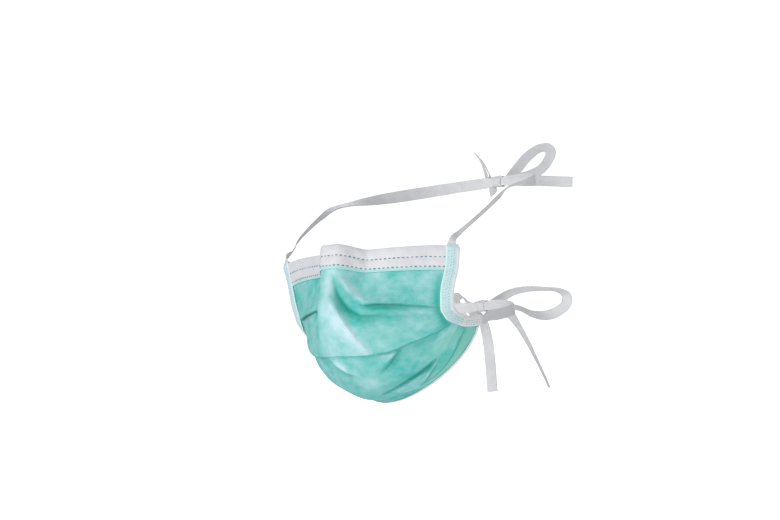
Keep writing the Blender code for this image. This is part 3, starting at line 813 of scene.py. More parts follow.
# painted shade in the valleys, beside the bindings and below folds
SHADE_PATCHES = (
    Patch(VALLEY, 0.95, 1.8, 3.4),
    Patch(((0.31, 0.296), (0.42, 0.302), (0.60, 0.302)), 1.00, 0.9, 3.2),
    Patch(((0.45, 0.365), (0.66, 0.36)), 0.35, 3.4, 3.4),
    Patch(((0.26, 0.385), (0.40, 0.385)), 0.30, 3.0, 3.0),
    Patch(((0.885, 0.14), (0.89, 0.50), (0.885, 0.63)), 0.95, 2.8, 2.8),
    Patch(((0.48, 0.600), (0.41, 0.628), (0.33, 0.662), (0.25, 0.682)), 0.95, 0.7, 2.2),
    Patch(((-0.10, 0.600), (-0.03, 0.640), (0.03, 0.672)), 0.50, 0.7, 3.0),
    Patch(((0.55, 0.62), (0.78, 0.645)), 0.40, 3.0, 3.0),
    Patch(((0.12, 0.850), (0.375, 0.835), (0.51, 0.838), (0.61, 0.824)), 1.00, 1.5, 0.8),
    Patch(((0.10, 0.815), (0.45, 0.785)), 0.30, 4.0, 4.0),
    Patch(((0.55, 0.872), (0.413, 0.912), (0.25, 0.955), (0.12, 0.985)), 0.75, 0.5, 1.2),
    Patch(((0.915, 0.885), (0.84, 0.862), (0.74, 0.885), (0.66, 0.915)), 0.60, 0.5, 1.4),
    Patch(((-0.14, 0.17), (-0.22, 0.33)), 0.40, 3.0, 3.0),
    Patch(((-0.89, 0.20), (-0.89, 0.80)), 0.60, 2.6, 2.6),
)
# painted shadow along the sharp bottoms of the deepest folds
SHADED = (
    Patch(((0.33, 0.297), (0.42, 0.299), (0.60, 0.300), (0.74, 0.304)), 0.55, 0.8, 1.3),
    Patch(((0.12, 0.850), (0.375, 0.835), (0.51, 0.838), (0.62, 0.823)), 0.90, 0.9, 0.8),
    Patch(((0.64, 0.832), (0.55, 0.866), (0.44, 0.905)), 0.70, 0.6, 0.9),
    Patch(((0.30, 0.584), (0.39, 0.590), (0.56, 0.591)), 0.50, 0.6, 1.2),
    Patch(((0.47, 0.602), (0.41, 0.628), (0.34, 0.660)), 0.35, 0.8, 1.0),
)
# painted glow where light would come through the cloth
GLOW_PATCHES = (
    Patch(((0.60, 0.74), (0.95, 0.80)), 0.50, 9.0, 9.0),
    Patch(((0.35, 0.96), (0.70, 0.93), (0.95, 0.93)), 0.75, 5.0, 8.0),
    Patch(((0.30, 0.50), (0.70, 0.52)), 0.25, 8.0, 8.0),
)


def patches(table):
    """The strength of a table's soft lines over the whole grid."""
    total = np.zeros_like(across_grid)
    for patch in table:
        total = 1 - (1 - total) * (1 - patch.strength * nearness(patch, across_grid, along_grid))
    return total


print("patches of tone:", len(FRONT_HIGHLIGHT + HIGHLIGHT_PATCHES + SHADE_PATCHES + SHADED + GLOW_PATCHES))

# %% [markdown]
# The body is one ply of mint on one of white. A shut pleat would show the mint lining of its lap as a
# bright edge if its hidden faces were white, so those are mint on both faces. The sheet's flat cut is
# as wide as the worn body, and as high as the worn body with the laps of the three pleats.

# %% Build the pleated body
PLY = 0.30 * MM
SHADE_DEPTH = 1.6 * MM
SHADE_START = 0.3 * MM
SHADE_EDGE = 4 * MM
LAP_SHUT = 0.45

# painted shade and painted shadow, strongest just below each shut fold
painted_shade, shaded = patches(SHADE_PATCHES), patches(SHADED)
for pleat, line in zip(PLEATS, stop_lines[1:-1]):
    below = (along_grid - line) * PANEL_HEIGHT
    shade = np.exp(-np.clip(below, 0, None) / SHADE_DEPTH) * (below > -SHADE_START) * shut_lines[pleat.name]
    painted_shade = np.maximum(painted_shade, 0.7 * shade * fade(from_side / SHADE_EDGE + 0.5))
    shaded = np.maximum(shaded, 0.45 * shade**2 * fade(from_side / SHADE_EDGE + 0.5))
# the painted highlight, weaker where painted shade lies
above_second = fade((stop_lines[2] - along_grid) * PANEL_HEIGHT / (0.6 * MM))
painted_highlight = np.maximum(patches(HIGHLIGHT_PATCHES), patches(FRONT_HIGHLIGHT) * above_second) * (1 - 0.75 * painted_shade)
marks_on_cloth = {"painted_shade": painted_shade, "shaded": shaded, "painted_highlight": painted_highlight, "painted_glow": patches(GLOW_PATCHES)}

laps = np.zeros((len(row_list) - 1, COLUMNS), dtype=bool)
for pleat in PLEATS:
    first = next(n for n, row in enumerate(row_list) if row[1] is pleat)
    laps[first + 1 : first + 5] = shut_lines[pleat.name][:-1] > LAP_SHUT
cloth_places = np.stack((across_grid * width_grid, -along_grid * PANEL_HEIGHT), axis=-1)
plies = [mint_spunbond, lining_spunbond]
panel = cloth("panel_cloth", panel_points, cloth_places, PLY, plies, marks_on_cloth, laps)
settle(panel, "panel")

# %% [markdown]
# The white band is one strip folded over the top edge, with a bent wire inside. Two rows of short
# welds hold it to the body. Between the rows it stands up a little like a quilt, and below the lower
# row a narrow fringe of single cloth lets the green shine through. The strip is a folded-over section
# that slides along the edge: down the front, round the edge and down the back. The hem of the lower
# edge is the same kind of strip, so one function makes both.

# %% A function for a strip folded over an edge
STRIP_OUT = 1.15 * MM
STRIP_FRONT_ROWS = 26
STRIP_TURN_STEPS = 8
STRIP_BACK_ROWS = 8


def tinted(finish, axis, start, end, code):
    """Blends a finish to another colour between two depths in the cloth, by one axis of its UV map."""
    tree = finish.node_tree
    shader = tree.nodes["Principled BSDF"]
    colour = shader.inputs["Base Color"].links[0].from_socket
    uv = add(tree, "ShaderNodeUVMap", uv_map="cloth").outputs["UV"]
    depth = add(tree, "ShaderNodeSeparateXYZ", {"Vector": uv}).outputs[axis]
    reach = {"Value": depth, "From Min": start / UV_UNIT, "From Max": end / UV_UNIT}
    share = add(tree, "ShaderNodeMapRange", reach).outputs["Result"]
    blend = add(tree, "ShaderNodeMix", {"Factor": share, 6: colour, 7: linear(code)}, **RGBA)
    tree.links.new(blend.outputs[2], shader.inputs["Base Color"])


def folded_strip(name, along, inwards, depth, columns, puff, finish, back_depth):
    """A strip folded over the top or lower edge. Puff gives its lift at a depth below the edge."""
    end = 1 - (BINDING_WIDTH - 1.5 * MM) / float(half_width(along))
    across = np.linspace(-end, end, columns + 1)
    front = [depth * (1 - i / STRIP_FRONT_ROWS) for i in range(STRIP_FRONT_ROWS)]
    turn = [pi / 2 - pi * i / STRIP_TURN_STEPS for i in range(STRIP_TURN_STEPS + 1)]
    back = [back_depth * (i + 1) / STRIP_BACK_ROWS for i in range(STRIP_BACK_ROWS)]
    rows, places = [], []
    sideways, down, normal = slopes(across, np.full_like(across, along))
    edge = form(across, np.full_like(across, along))
    width = float(half_width(along))
    for inset in front:
        there = np.full_like(across, along + inwards * inset / PANEL_HEIGHT)
        out = slopes(across, there)[2] * (STRIP_OUT + puff(inset, across))[:, None]
        rows.append(form(across, there) + out)
        places.append((across * width, np.full_like(across, -inset)))
    for angle in turn:
        rows.append(edge + STRIP_OUT * (normal * sin(angle) - inwards * down * cos(angle)))
        places.append((across * width, np.full_like(across, STRIP_OUT * (pi / 2 - angle))))
    for inset in back:
        there = np.full_like(across, along + inwards * inset / PANEL_HEIGHT)
        rows.append(form(across, there) - slopes(across, there)[2] * STRIP_OUT)
        places.append((across * width, np.full_like(across, STRIP_OUT * pi + inset)))
    points = np.array(rows)
    spots = np.moveaxis(np.array(places), 1, -1)
    if inwards > 0:
        points, spots = points[::-1], spots[::-1]
    return cloth(name, points, spots, PLY, [finish])


print("rows of a folded strip:", STRIP_FRONT_ROWS + STRIP_TURN_STEPS + 1 + STRIP_BACK_ROWS)

# %% [markdown]
# The quilted lift of the band is a half sine between its edge and its welds, with a few upright ridges
# where the wire inside is bent. At the hem nothing lifts.

# %% Build the band over the top edge and the hem
WELD_ROWS = (6.4 * MM, 12.9 * MM)  # below the top edge
FRINGE = 2.5 * MM
QUILT = 0.45  # the lift in mm between two rows of welds
BAND_BACK = 11 * MM
HEM_FRONT = 2.1 * MM
HEM_BACK = 2.2 * MM
# the upright ridges and dips of the band: place across, width and height in mm
BAND_RIDGES = (
    (0.035, 1.2, 0.55),
    (0.16, 3.0, -0.35),
    (0.33, 1.6, 0.30),
    (0.62, 3.0, 0.25),
    (-0.12, 2.0, -0.3),
)


def nose_puff(inset, across):
    """The quilted lift of the band between its edge and its two rows of welds."""
    if inset >= WELD_ROWS[1]:
        return np.zeros_like(across) + 0.05 * MM
    start = 0 if inset < WELD_ROWS[0] else WELD_ROWS[0]
    end = WELD_ROWS[0] if inset < WELD_ROWS[0] else WELD_ROWS[1]
    lift = sin(pi * (inset - start) / (end - start)) ** 0.8 if inset > 0 else 0
    waves = 0.10 * np.sin(across * 31) + 0.08 * np.sin(across * 53 + 1)
    for place, width, height in BAND_RIDGES:
        waves = waves + height * np.exp(-(((across - place) * HALF_SPAN / (width * MM)) ** 2))
    return (QUILT + waves) * lift * MM


def flat_puff(inset, across):
    """No lift at all."""
    return np.zeros_like(across)


fringe_top = -WELD_ROWS[1] - 0.2 * MM
white_band = spunbond("white spunbond band", "#DEDEE1", "#BFC4CA", "#F3F2F6", 0.62, shading=False)
tinted(white_band, "Y", fringe_top, fringe_top - 0.6 * MM, "#B8E8E2")
band_front = WELD_ROWS[1] + FRINGE
nose_band = folded_strip("nose_band_cloth", 0.0, 1, band_front, 200, nose_puff, white_band, BAND_BACK)
settle(nose_band, "nose_band")

# the hem's white is painted brighter than the band's, as painted light, since it faces down into shade
brightened_hem_white = spunbond("white spunbond hem", "#FAFBFB", "#DDE9E7", "#FFFFFF", 0.62, shading=False)
hem = folded_strip("lower_hem_cloth", 1.0, -1, HEM_FRONT, 180, flat_puff, brightened_hem_white, HEM_BACK)
settle(hem, "lower_hem")

# %% [markdown]
# Each side edge, with the ends of all three pleats, is wrapped in a strip of the same white cloth. It
# is bulky, because it closes over seven layers, and its outer fold is round. It runs past the corners
# and goes on as the ties, so its two legs close towards its ends.

# %% The section of a side binding
BINDING_OUT = 1.5 * MM
BINDING_NARROWS = 0.24
BINDING_FRONT_ROWS = 12
BINDING_BACK_ROWS = 6
BINDING_TUCK = 0.35 * MM


def binding_swell(along):
    """How far the front of a binding bulges: it is lumpy, and flatter towards its lower end."""
    lumps = 0.45 + 0.16 * np.sin(along * 107) + 0.10 * np.sin(along * 274 + 1)
    return lumps * (1 - 0.6 * along) * MM


def binding_width(along):
    """A binding is pulled narrower on its way round the lower corner."""
    return BINDING_WIDTH * (1 - BINDING_NARROWS * fade((along - 0.55) / 0.25))


def binding_section(side, along, shift, swell, openness=1.0):
    """One section of a side binding, from its inner front edge round the fold to its back edge.

    Openness 1 leaves room for the pleats between the two legs, and smaller values press them together.
    """
    reach = BINDING_OUT * openness
    swell *= openness
    width = float(half_width(along))
    strip_width = float(binding_width(along))
    front = [strip_width * (1 - i / BINDING_FRONT_ROWS) for i in range(BINDING_FRONT_ROWS)]
    back = [strip_width * (i + 1) / BINDING_BACK_ROWS for i in range(BINDING_BACK_ROWS)]
    points, runs = [], []
    for sign, depths in ((1, front), (-1, back)):
        depths = np.array(depths)
        across = side * (1 - depths / width)
        out = slopes(across, np.full_like(across, along))[2]
        bulge = np.sin(pi * np.clip(depths / strip_width, 0, 1)) ** 0.7 * swell * (1 if sign > 0 else 0.3)
        tucked = BINDING_TUCK * openness * (depths > strip_width * 0.95)
        lifted = (sign * (reach - tucked + bulge))[:, None]
        points.append(form(across, np.full_like(across, along)) + out * lifted)
        runs.append(depths if sign > 0 else -depths - BINDING_OUT * pi)
    sideways, down, normal = slopes(np.array([float(side)]), np.array([float(along)]))
    edge = form(np.array([float(side)]), np.array([float(along)]))
    angles = np.array([pi / 2 - pi * i / 8 for i in range(9)])[:, None]
    fold = edge + reach * (normal * np.sin(angles) + sideways * side * np.cos(angles))
    points.insert(1, fold)
    runs.insert(1, -BINDING_OUT * (pi / 2 - angles[:, 0]))
    return np.concatenate(points) + shift * down, np.concatenate(runs)


print("binding width at its ends:", [round(1000 * float(binding_width(a)), 1) for a in (0, 1)], "mm")

# %% [markdown]
# Up to the lower corner the binding lies on the body, and the mint shows through its thin white cloth.
# The fold itself stays white, and the cut edge is painted nearly white as a painted highlight where it
# catches the light. Below the corner it turns towards the tie, and it is white again.

# %% Build the side bindings
BINDING_ROWS = 120
UPPER_CLOSING = 0.6  # the upper end closes over a shorter way than the lower one
# how far past the end of the edge in mm, and the openness there
CLOSING = ((0.7, 0.95), (1.4, 0.82), (2.1, 0.62), (2.8, 0.44), (3.5, 0.34), (4.2, 0.30))
LOWER_WHITE = (-0.68 * PANEL_HEIGHT, -0.80 * PANEL_HEIGHT)  # no mint lies behind the lower end

binding_white = spunbond("white binding spunbond", "#F1F2F2", "#CFE3E4", "#FAFBFB", 0.6, shading=False)
tinted(binding_white, "X", 0.1 * MM, 0.9 * MM, "#CDEAEC")  # the mint shows through from here on
# a painted highlight along the cut edge
tinted(binding_white, "X", 6.7 * MM, 7.2 * MM, "#EEFBFB")  # the cut edge catches the light
tinted(binding_white, "Y", *LOWER_WHITE, "#F3F4F3")


def side_binding(side):
    """Points and places of the strip round one side edge."""
    stations = [(0.0, -UPPER_CLOSING * beyond * MM, openness) for beyond, openness in reversed(CLOSING)]
    stations += [(float(along), 0.0, 1.0) for along in np.linspace(0, 1, BINDING_ROWS)]
    stations += [(1.0, beyond * MM, openness) for beyond, openness in CLOSING]
    rows, places = [], []
    for along, shift, openness in stations:
        points, runs = binding_section(side, along, shift, float(binding_swell(along)), openness)
        rows.append(points)
        places.append(np.stack((runs, np.full_like(runs, -(along * PANEL_HEIGHT + shift))), axis=-1))
    points, spots = np.array(rows), np.array(places)
    if side < 0:
        points, spots = points[:, ::-1], spots[:, ::-1]
    return points, spots


SIDES = ((1, "left"), (-1, "right"))
for side, word in SIDES:
    points, spots = side_binding(side)
    piece = cloth(f"side_binding_{word}_cloth", points, spots, PLY, [binding_white])
    settle(piece, f"side_binding_{word}")

# %% [markdown]
# The welds are little pressed spots that repeat at one pitch along a line. That is work for Geometry
# Nodes: the tree below turns a line into a curve, puts points on it at a pitch, and sets one small
# lens on each point, turned to the cloth. It is built once with named inputs for its sizes, and every
# row of welds in this mask uses it with its own numbers. A row's line carries the way that the cloth
# faces as an attribute.

# %% A node tree that presses welds along a line
def new_tree(name, inputs, output):
    """An empty geometry node tree with named inputs and one output, and the sockets of its inputs."""
    tree = bpy.data.node_groups.new(name, "GeometryNodeTree")
    tree.is_modifier = True
    for title, (kind, value) in inputs.items():
        socket = tree.interface.new_socket(name=title, in_out="INPUT", socket_type="NodeSocket" + kind)
        if value is not None:
            socket.default_value = value
    tree.interface.new_socket(name=output, in_out="OUTPUT", socket_type="NodeSocketGeometry")
    return tree, add(tree, "NodeGroupInput").outputs


def weld_tree():
    """Small lenses along a line, as one mesh."""
    inputs = {
        "Line": ("Geometry", None),
        "Pitch": ("Float", 3 * MM),
        "Length": ("Float", 1.6 * MM),
        "Width": ("Float", 0.8 * MM),
        "Thickness": ("Float", 0.3 * MM),
        "Seed": ("Int", 1),
        "Finish": ("Material", None),
    }
    tree, given = new_tree("welds along a line", inputs, "Welds")
    line = add(tree, "GeometryNodeMeshToCurve", {"Mesh": given["Line"]}).outputs["Curve"]
    spread = add(tree, "GeometryNodeResampleCurve", {"Curve": line, "Length": given["Pitch"]}, mode="LENGTH")
    lens_mesh = add(tree, "GeometryNodeMeshUVSphere", {"Segments": 10, "Rings": 6, "Radius": 0.5})
    run = add(tree, "GeometryNodeInputTangent").outputs["Tangent"]
    out_way = add(tree, "GeometryNodeInputNamedAttribute", {"Name": "out_way"}, data_type="FLOAT_VECTOR")
    ways = {0: out_way.outputs["Attribute"], 1: run}
    turn = add(tree, "FunctionNodeAxesToRotation", ways, primary_axis="Z", secondary_axis="X")
    span = {2: 0.82, 3: 1.12, "Seed": given["Seed"]}
    uneven = add(tree, "FunctionNodeRandomValue", span, data_type="FLOAT")
    sizes = {"X": given["Length"], "Y": given["Width"], "Z": given["Thickness"]}
    size = add(tree, "ShaderNodeCombineXYZ", sizes).outputs[0]
    scale = add(tree, "ShaderNodeVectorMath", {0: size, "Scale": uneven.outputs[1]}, operation="SCALE")
    lenses = {"Points": spread.outputs["Curve"], "Instance": lens_mesh.outputs["Mesh"]}
    lenses.update({"Rotation": turn.outputs[0], "Scale": scale.outputs[0]})
    placed = add(tree, "GeometryNodeInstanceOnPoints", lenses)
    real = add(tree, "GeometryNodeRealizeInstances", {"Geometry": placed.outputs["Instances"]})
    smooth = add(tree, "GeometryNodeSetShadeSmooth", {"Geometry": real.outputs["Geometry"]})
    covered = {"Geometry": smooth.outputs[0], "Material": given["Finish"]}
    painted = add(tree, "GeometryNodeSetMaterial", covered)
    add(tree, "NodeGroupOutput", {"Welds": painted.outputs["Geometry"]})
    return tree


weld_maker = weld_tree()
print("weld tree inputs:", [s.name for s in weld_maker.interface.items_tree if s.in_out == "INPUT"])

# %% [markdown]
# A tree is run on a line of points by a modifier. Its result is turned into a plain mesh at once, and
# the attributes that only the tree needed are taken off again. A closed mesh that came out with its
# faces looking inwards is turned.

# %% Run a node tree on a line
def outside_in(mesh):
    """True where a closed mesh has its faces looking inwards."""
    mesh.calc_loop_triangles()
    corners = np.array([v.co for v in mesh.vertices])
    triangles = np.array([t.vertices for t in mesh.loop_triangles])
    a, b, c = (corners[triangles[:, i]] for i in range(3))
    return np.einsum("ij,ij->i", a, np.cross(b, c)).sum() < 0


def grown(name, tree, settings, points, vectors, closed=False):
    """Runs a node tree on a line of points that carries vector and number attributes."""
    count = len(points)
    mesh = bpy.data.meshes.new(name + "_line")
    edges = [(i, i + 1) for i in range(count - 1)] + ([(count - 1, 0)] if closed else [])
    mesh.from_pydata([tuple(p) for p in points], edges, [])
    for title, values in vectors.items():
        values = np.asarray(values, dtype=np.float32)
        kind, key = ("FLOAT_VECTOR", "vector") if values.ndim == 2 else ("FLOAT", "value")
        mesh.attributes.new(title, kind, "POINT").data.foreach_set(key, values.ravel())
    holder = bpy.data.objects.new(name + "_line", mesh)
    bpy.context.scene.collection.objects.link(holder)
    grower = holder.modifiers.new("grower", "NODES")
    grower.node_group = tree
    for socket in tree.interface.items_tree:
        if socket.name in settings:
            grower[socket.identifier] = settings[socket.name]
    piece = finished(holder, name)
    if outside_in(piece.data):
        piece.data.flip_normals()
    for title in list(vectors) + ["centre", "section_x", "section_y"]:
        if title in piece.data.attributes:
            piece.data.attributes.remove(piece.data.attributes[title])
    return piece


def join(pieces, name):
    """One piece from several meshes."""
    with bpy.context.temp_override(active_object=pieces[0], selected_editable_objects=pieces):
        bpy.ops.object.join()
    pieces[0].name = name
    pieces[0].data.name = name
    return pieces[0]


print("ready to run", weld_maker.name)

# %% [markdown]
# Where two layers of spunbond are welded, the fibres melt into a clear film, and the mint underneath
# shows through. The spots are smooth, so they shine a little more than the felt around them. On the
# bindings the welds go in harder round the lower corner, and the film there is darker.

# %% The pressed film of a weld
def film(name, code):
    """Polypropylene fibres melted to a film by an ultrasonic weld."""
    finish = bpy.data.materials.new(name)
    finish.use_nodes = True
    tree = finish.node_tree
    shader = tree.nodes["Principled BSDF"]
    place = add(tree, "ShaderNodeTexCoord").outputs["Object"]
    uneven = add(tree, "ShaderNodeTexNoise", {"Vector": place, "Scale": 700.0, "Detail": 2.0}).outputs["Fac"]
    tone = add(tree, "ShaderNodeMix", {"Factor": uneven, 6: linear(code), 7: linear("#9CCBCB")}, **RGBA)
    mild = add(tree, "ShaderNodeMix", {"Factor": 0.4, 6: linear(code), 7: tone.outputs[2]}, **RGBA)
    tree.links.new(mild.outputs[2], shader.inputs["Base Color"])
    shader.inputs["Roughness"].default_value = 0.35
    shader.inputs["IOR"].default_value = POLYPROPYLENE_IOR
    bump = add(tree, "ShaderNodeBump", {"Strength": 0.3, "Distance": 0.05 * MM, "Height": uneven})
    tree.links.new(bump.outputs["Normal"], shader.inputs["Normal"])
    return finish


band_film = film("weld film over mint", "#3F8288")
faint_film = film("faint weld film of the bindings", "#9CC9CD")
binding_film = film("weld film of the bindings", "#5F949B")
print("films:", band_film.name, "/", faint_film.name, "/", binding_film.name)

# %% [markdown]
# The band has two rows of dashes and each binding has three columns of dots. A row follows the lifted
# face of its strip, so every lens is half sunk in the cloth.

# %% Press the welds
BAND_WELD = {"Pitch": 3.0 * MM, "Length": 1.9 * MM, "Width": 1.0 * MM, "Thickness": 0.5 * MM}
BINDING_WELD = {"Pitch": 1.9 * MM, "Length": 0.95 * MM, "Width": 0.65 * MM, "Thickness": 0.3 * MM}
BINDING_DOTS = (2.2 * MM, 3.9 * MM, 5.6 * MM)  # in from the edge
BINDING_CORNER = 0.60  # below this place along the edge the welds went in harder
BINDING_RUNS = ((0.01, BINDING_CORNER, faint_film), (BINDING_CORNER + 0.02, 0.99, binding_film))
WELD_FACES = 60

rows = []
for n, inset in enumerate(WELD_ROWS):
    end = 1 - (BINDING_WIDTH + 0.6 * MM) / float(half_width(0.0))
    across = np.linspace(-end, end, 320)
    along = np.full_like(across, inset / PANEL_HEIGHT)
    out = slopes(across, along)[2]
    points = form(across, along) + out * (STRIP_OUT + nose_puff(inset, across)[:, None] + 0.02 * MM)
    settings = {**BAND_WELD, "Seed": n, "Finish": band_film}
    rows.append(grown(f"band_row_{n}", weld_maker, settings, points, {"out_way": out}))
band_welds = join(rows, "nose_band_welds")
settle(band_welds)
print("welds in the band:", len(band_welds.data.polygons) // WELD_FACES)

for side, word in SIDES:
    columns = []
    for n, depth in enumerate(BINDING_DOTS):
        for start, end, finish in BINDING_RUNS:
            along = np.linspace(start + 0.004 * n, end, 160)
            across = side * (1 - depth * binding_width(along) / BINDING_WIDTH / half_width(along))
            out = slopes(across, along)[2]
            bulge = sin(pi * depth / BINDING_WIDTH) ** 0.7 * binding_swell(along)
            points = form(across, along) + out * (BINDING_OUT + bulge - 0.05 * MM)[:, None]
            settings = {**BINDING_WELD, "Seed": 10 + n, "Finish": finish}
            columns.append(grown(f"column_{n}", weld_maker, settings, points, {"out_way": out}))
    settle(join(columns, f"side_binding_{word}_welds"))

# %% [markdown]
# The ties are strips of white spunbond, folded lengthwise and welded flat. A tie follows its path with
# the same section all the way, so a second node tree sweeps it: a closed outline of the folded strip
# runs along a line, and each of its points is set out from the line by two directions that the line
# carries as attributes. That keeps the flat strip from twisting by itself, as a plain sweep would do.

# %% The outline of a folded strip
# shares of the width and the thickness: a rounded fold on one side, and the raw edge of the lap on the back
STRIP_SECTION = (
    (-0.500, 0.00), (-0.492, -0.30), (-0.470, -0.47), (-0.40, -0.50), (-0.20, -0.50), (0.00, -0.50),
    (0.20, -0.50), (0.235, -0.42), (0.26, -0.12), (0.40, -0.12), (0.49, -0.08), (0.500, 0.10),
    (0.495, 0.38), (0.47, 0.50), (0.40, 0.50), (0.20, 0.50), (0.00, 0.50), (-0.20, 0.50),
    (-0.40, 0.50), (-0.470, 0.47), (-0.492, 0.30),
)

outline_mesh = bpy.data.meshes.new("strip_section")
count = len(STRIP_SECTION)
outline_edges = [(i, (i + 1) % count) for i in range(count)]
outline_mesh.from_pydata([(x, y, 0) for x, y in STRIP_SECTION], outline_edges, [])
outline = bpy.data.objects.new("strip_section", outline_mesh)
print("corners of the strip's outline:", count)

# %% [markdown]
# The crumple of a strip is a slow noise along it, so the strip bends as one layer and keeps its
# thickness. The tree also writes the UV map, in the same units as for the other cloth, and keeps the
# cut ends sharp.

# %% A node tree that sweeps a folded strip
TIE_WIDTH = 7.5 * MM
TIE_THICKNESS = 0.7 * MM
CRUMPLE_RUN = 0.11  # waves for each mm of strip
SHARP_ANGLE = 1.2


def strip_tree():
    """A folded strip along a line that carries width_way, out_way, run_mm and spread."""
    inputs = {
        "Line": ("Geometry", None),
        "Section": ("Object", None),
        "Width": ("Float", TIE_WIDTH),
        "Thickness": ("Float", TIE_THICKNESS),
        "Crumple": ("Float", 0.2 * MM),
        "Seed": ("Float", 0.0),
        "Finish": ("Material", None),
    }
    tree, given = new_tree("folded strip along a line", inputs, "Strip")

    def math(first, second, operation="MULTIPLY", third=None):
        """The result of one sum."""
        terms = {0: first, 1: second} if third is None else {0: first, 1: second, 2: third}
        return add(tree, "ShaderNodeMath", terms, operation=operation).outputs[0]

    def stored(geometry, name, value, data_type, domain="POINT"):
        """The geometry with one more attribute."""
        inputs = {"Geometry": geometry, "Name": name, "Value": value}
        node = add(tree, "GeometryNodeStoreNamedAttribute", inputs, data_type=data_type, domain=domain)
        return node.outputs[0]

    here = add(tree, "GeometryNodeInputPosition").outputs[0]
    line = stored(given["Line"], "centre", here, "FLOAT_VECTOR")
    path = add(tree, "GeometryNodeMeshToCurve", {"Mesh": line})
    apart = add(tree, "ShaderNodeSeparateXYZ", {"Vector": here})
    section = add(tree, "GeometryNodeObjectInfo", {"Object": given["Section"]}).outputs["Geometry"]
    section = stored(section, "section_x", apart.outputs["X"], "FLOAT")
    section = stored(section, "section_y", apart.outputs["Y"], "FLOAT")
    ring = add(tree, "GeometryNodeMeshToCurve", {"Mesh": section})
    sweep = {"Curve": path.outputs[0], "Profile Curve": ring.outputs[0], "Fill Caps": True}
    tube = add(tree, "GeometryNodeCurveToMesh", sweep).outputs[0]
    named = {}
    kinds = {
        "FLOAT_VECTOR": ("centre", "width_way", "out_way"),
        "FLOAT": ("section_x", "section_y", "run_mm", "spread"),
    }
    for kind, names in kinds.items():
        for name in names:
            found = add(tree, "GeometryNodeInputNamedAttribute", {"Name": name}, data_type=kind)
            named[name] = found.outputs["Attribute"]
    aside = math(named["section_x"], given["Width"])
    run = math(named["run_mm"], CRUMPLE_RUN)
    over = math(named["section_x"], 1.3)
    spot = add(tree, "ShaderNodeCombineXYZ", {"X": run, "Y": over, "Z": given["Seed"]}).outputs[0]
    noise = add(tree, "ShaderNodeTexNoise", {"Vector": spot, "Scale": 1.0, "Detail": 2.0}).outputs["Fac"]
    crumple = math(math(noise, 0.5, "SUBTRACT"), given["Crumple"])
    out = math(named["section_y"], given["Thickness"], "MULTIPLY_ADD", crumple)
    ways = {0: named["width_way"], "Scale": math(aside, named["spread"])}
    sideways = add(tree, "ShaderNodeVectorMath", ways, operation="SCALE").outputs[0]
    ways = {0: named["out_way"], "Scale": out}
    outward = add(tree, "ShaderNodeVectorMath", ways, operation="SCALE").outputs[0]
    flat = add(tree, "ShaderNodeVectorMath", {0: named["centre"], 1: sideways}, operation="ADD").outputs[0]
    place = add(tree, "ShaderNodeVectorMath", {0: flat, 1: outward}, operation="ADD").outputs[0]
    moved = add(tree, "GeometryNodeSetPosition", {"Geometry": tube, "Position": place}).outputs[0]
    corner = {"X": math(aside, 1 / UV_UNIT), "Y": math(named["run_mm"], MM / UV_UNIT)}
    uv = add(tree, "ShaderNodeCombineXYZ", corner).outputs[0]
    mapped = stored(moved, "cloth", uv, "FLOAT2", "CORNER")
    smooth = add(tree, "GeometryNodeSetShadeSmooth", {"Geometry": mapped})
    bend = add(tree, "GeometryNodeInputMeshEdgeAngle").outputs["Unsigned Angle"]
    steep = {"A": bend, "B": SHARP_ANGLE}
    sharp = add(tree, "FunctionNodeCompare", steep, operation="GREATER_THAN", data_type="FLOAT").outputs[0]
    edges = {"Geometry": smooth.outputs[0], "Selection": sharp, "Shade Smooth": False}
    edged = add(tree, "GeometryNodeSetShadeSmooth", edges, domain="EDGE")
    real = add(tree, "GeometryNodeRealizeInstances", {"Geometry": edged.outputs[0]})
    painted = add(tree, "GeometryNodeSetMaterial", {"Geometry": real.outputs[0], "Material": given["Finish"]})
    add(tree, "NodeGroupOutput", {"Strip": painted.outputs[0]})
    return tree


strip_maker = strip_tree()
print("strip tree inputs:", [s.name for s in strip_maker.interface.items_tree if s.in_out == "INPUT"])

# %% [markdown]
# A strip is told by the points that its middle line passes and by how it stands there. A tie stands on
# edge and leans by the angle that its stops give. The strip of a bow curls in all directions, so its
# width is carried along the path instead, and a table turns it.

# %% The middle line of a strip
STRIP_STEP = 1.3 * MM
LOOK_BESIDE = 0.2 * MM
ROOT_BLEND = 9 * MM


def carried(run, start, upright, twist, share):
    """Width directions carried along a path without twisting, that end upright and turn by a table."""
    ways = [unit(start - run[0] * (start @ run[0]))]
    for way in run[1:]:
        ways.append(unit(ways[-1] - way * (ways[-1] @ way)))
    ways = np.array(ways)
    goal = unit(upright - run[-1] * (upright @ run[-1]))
    goal = goal if goal @ ways[-1] > 0 else -goal
    left = np.arctan2(run[-1] @ np.cross(ways[-1], goal), ways[-1] @ goal)
    angle = (left * share + np.radians(between(*zip(*twist), share)))[:, None]
    return ways * np.cos(angle) + np.cross(run, ways) * np.sin(angle)


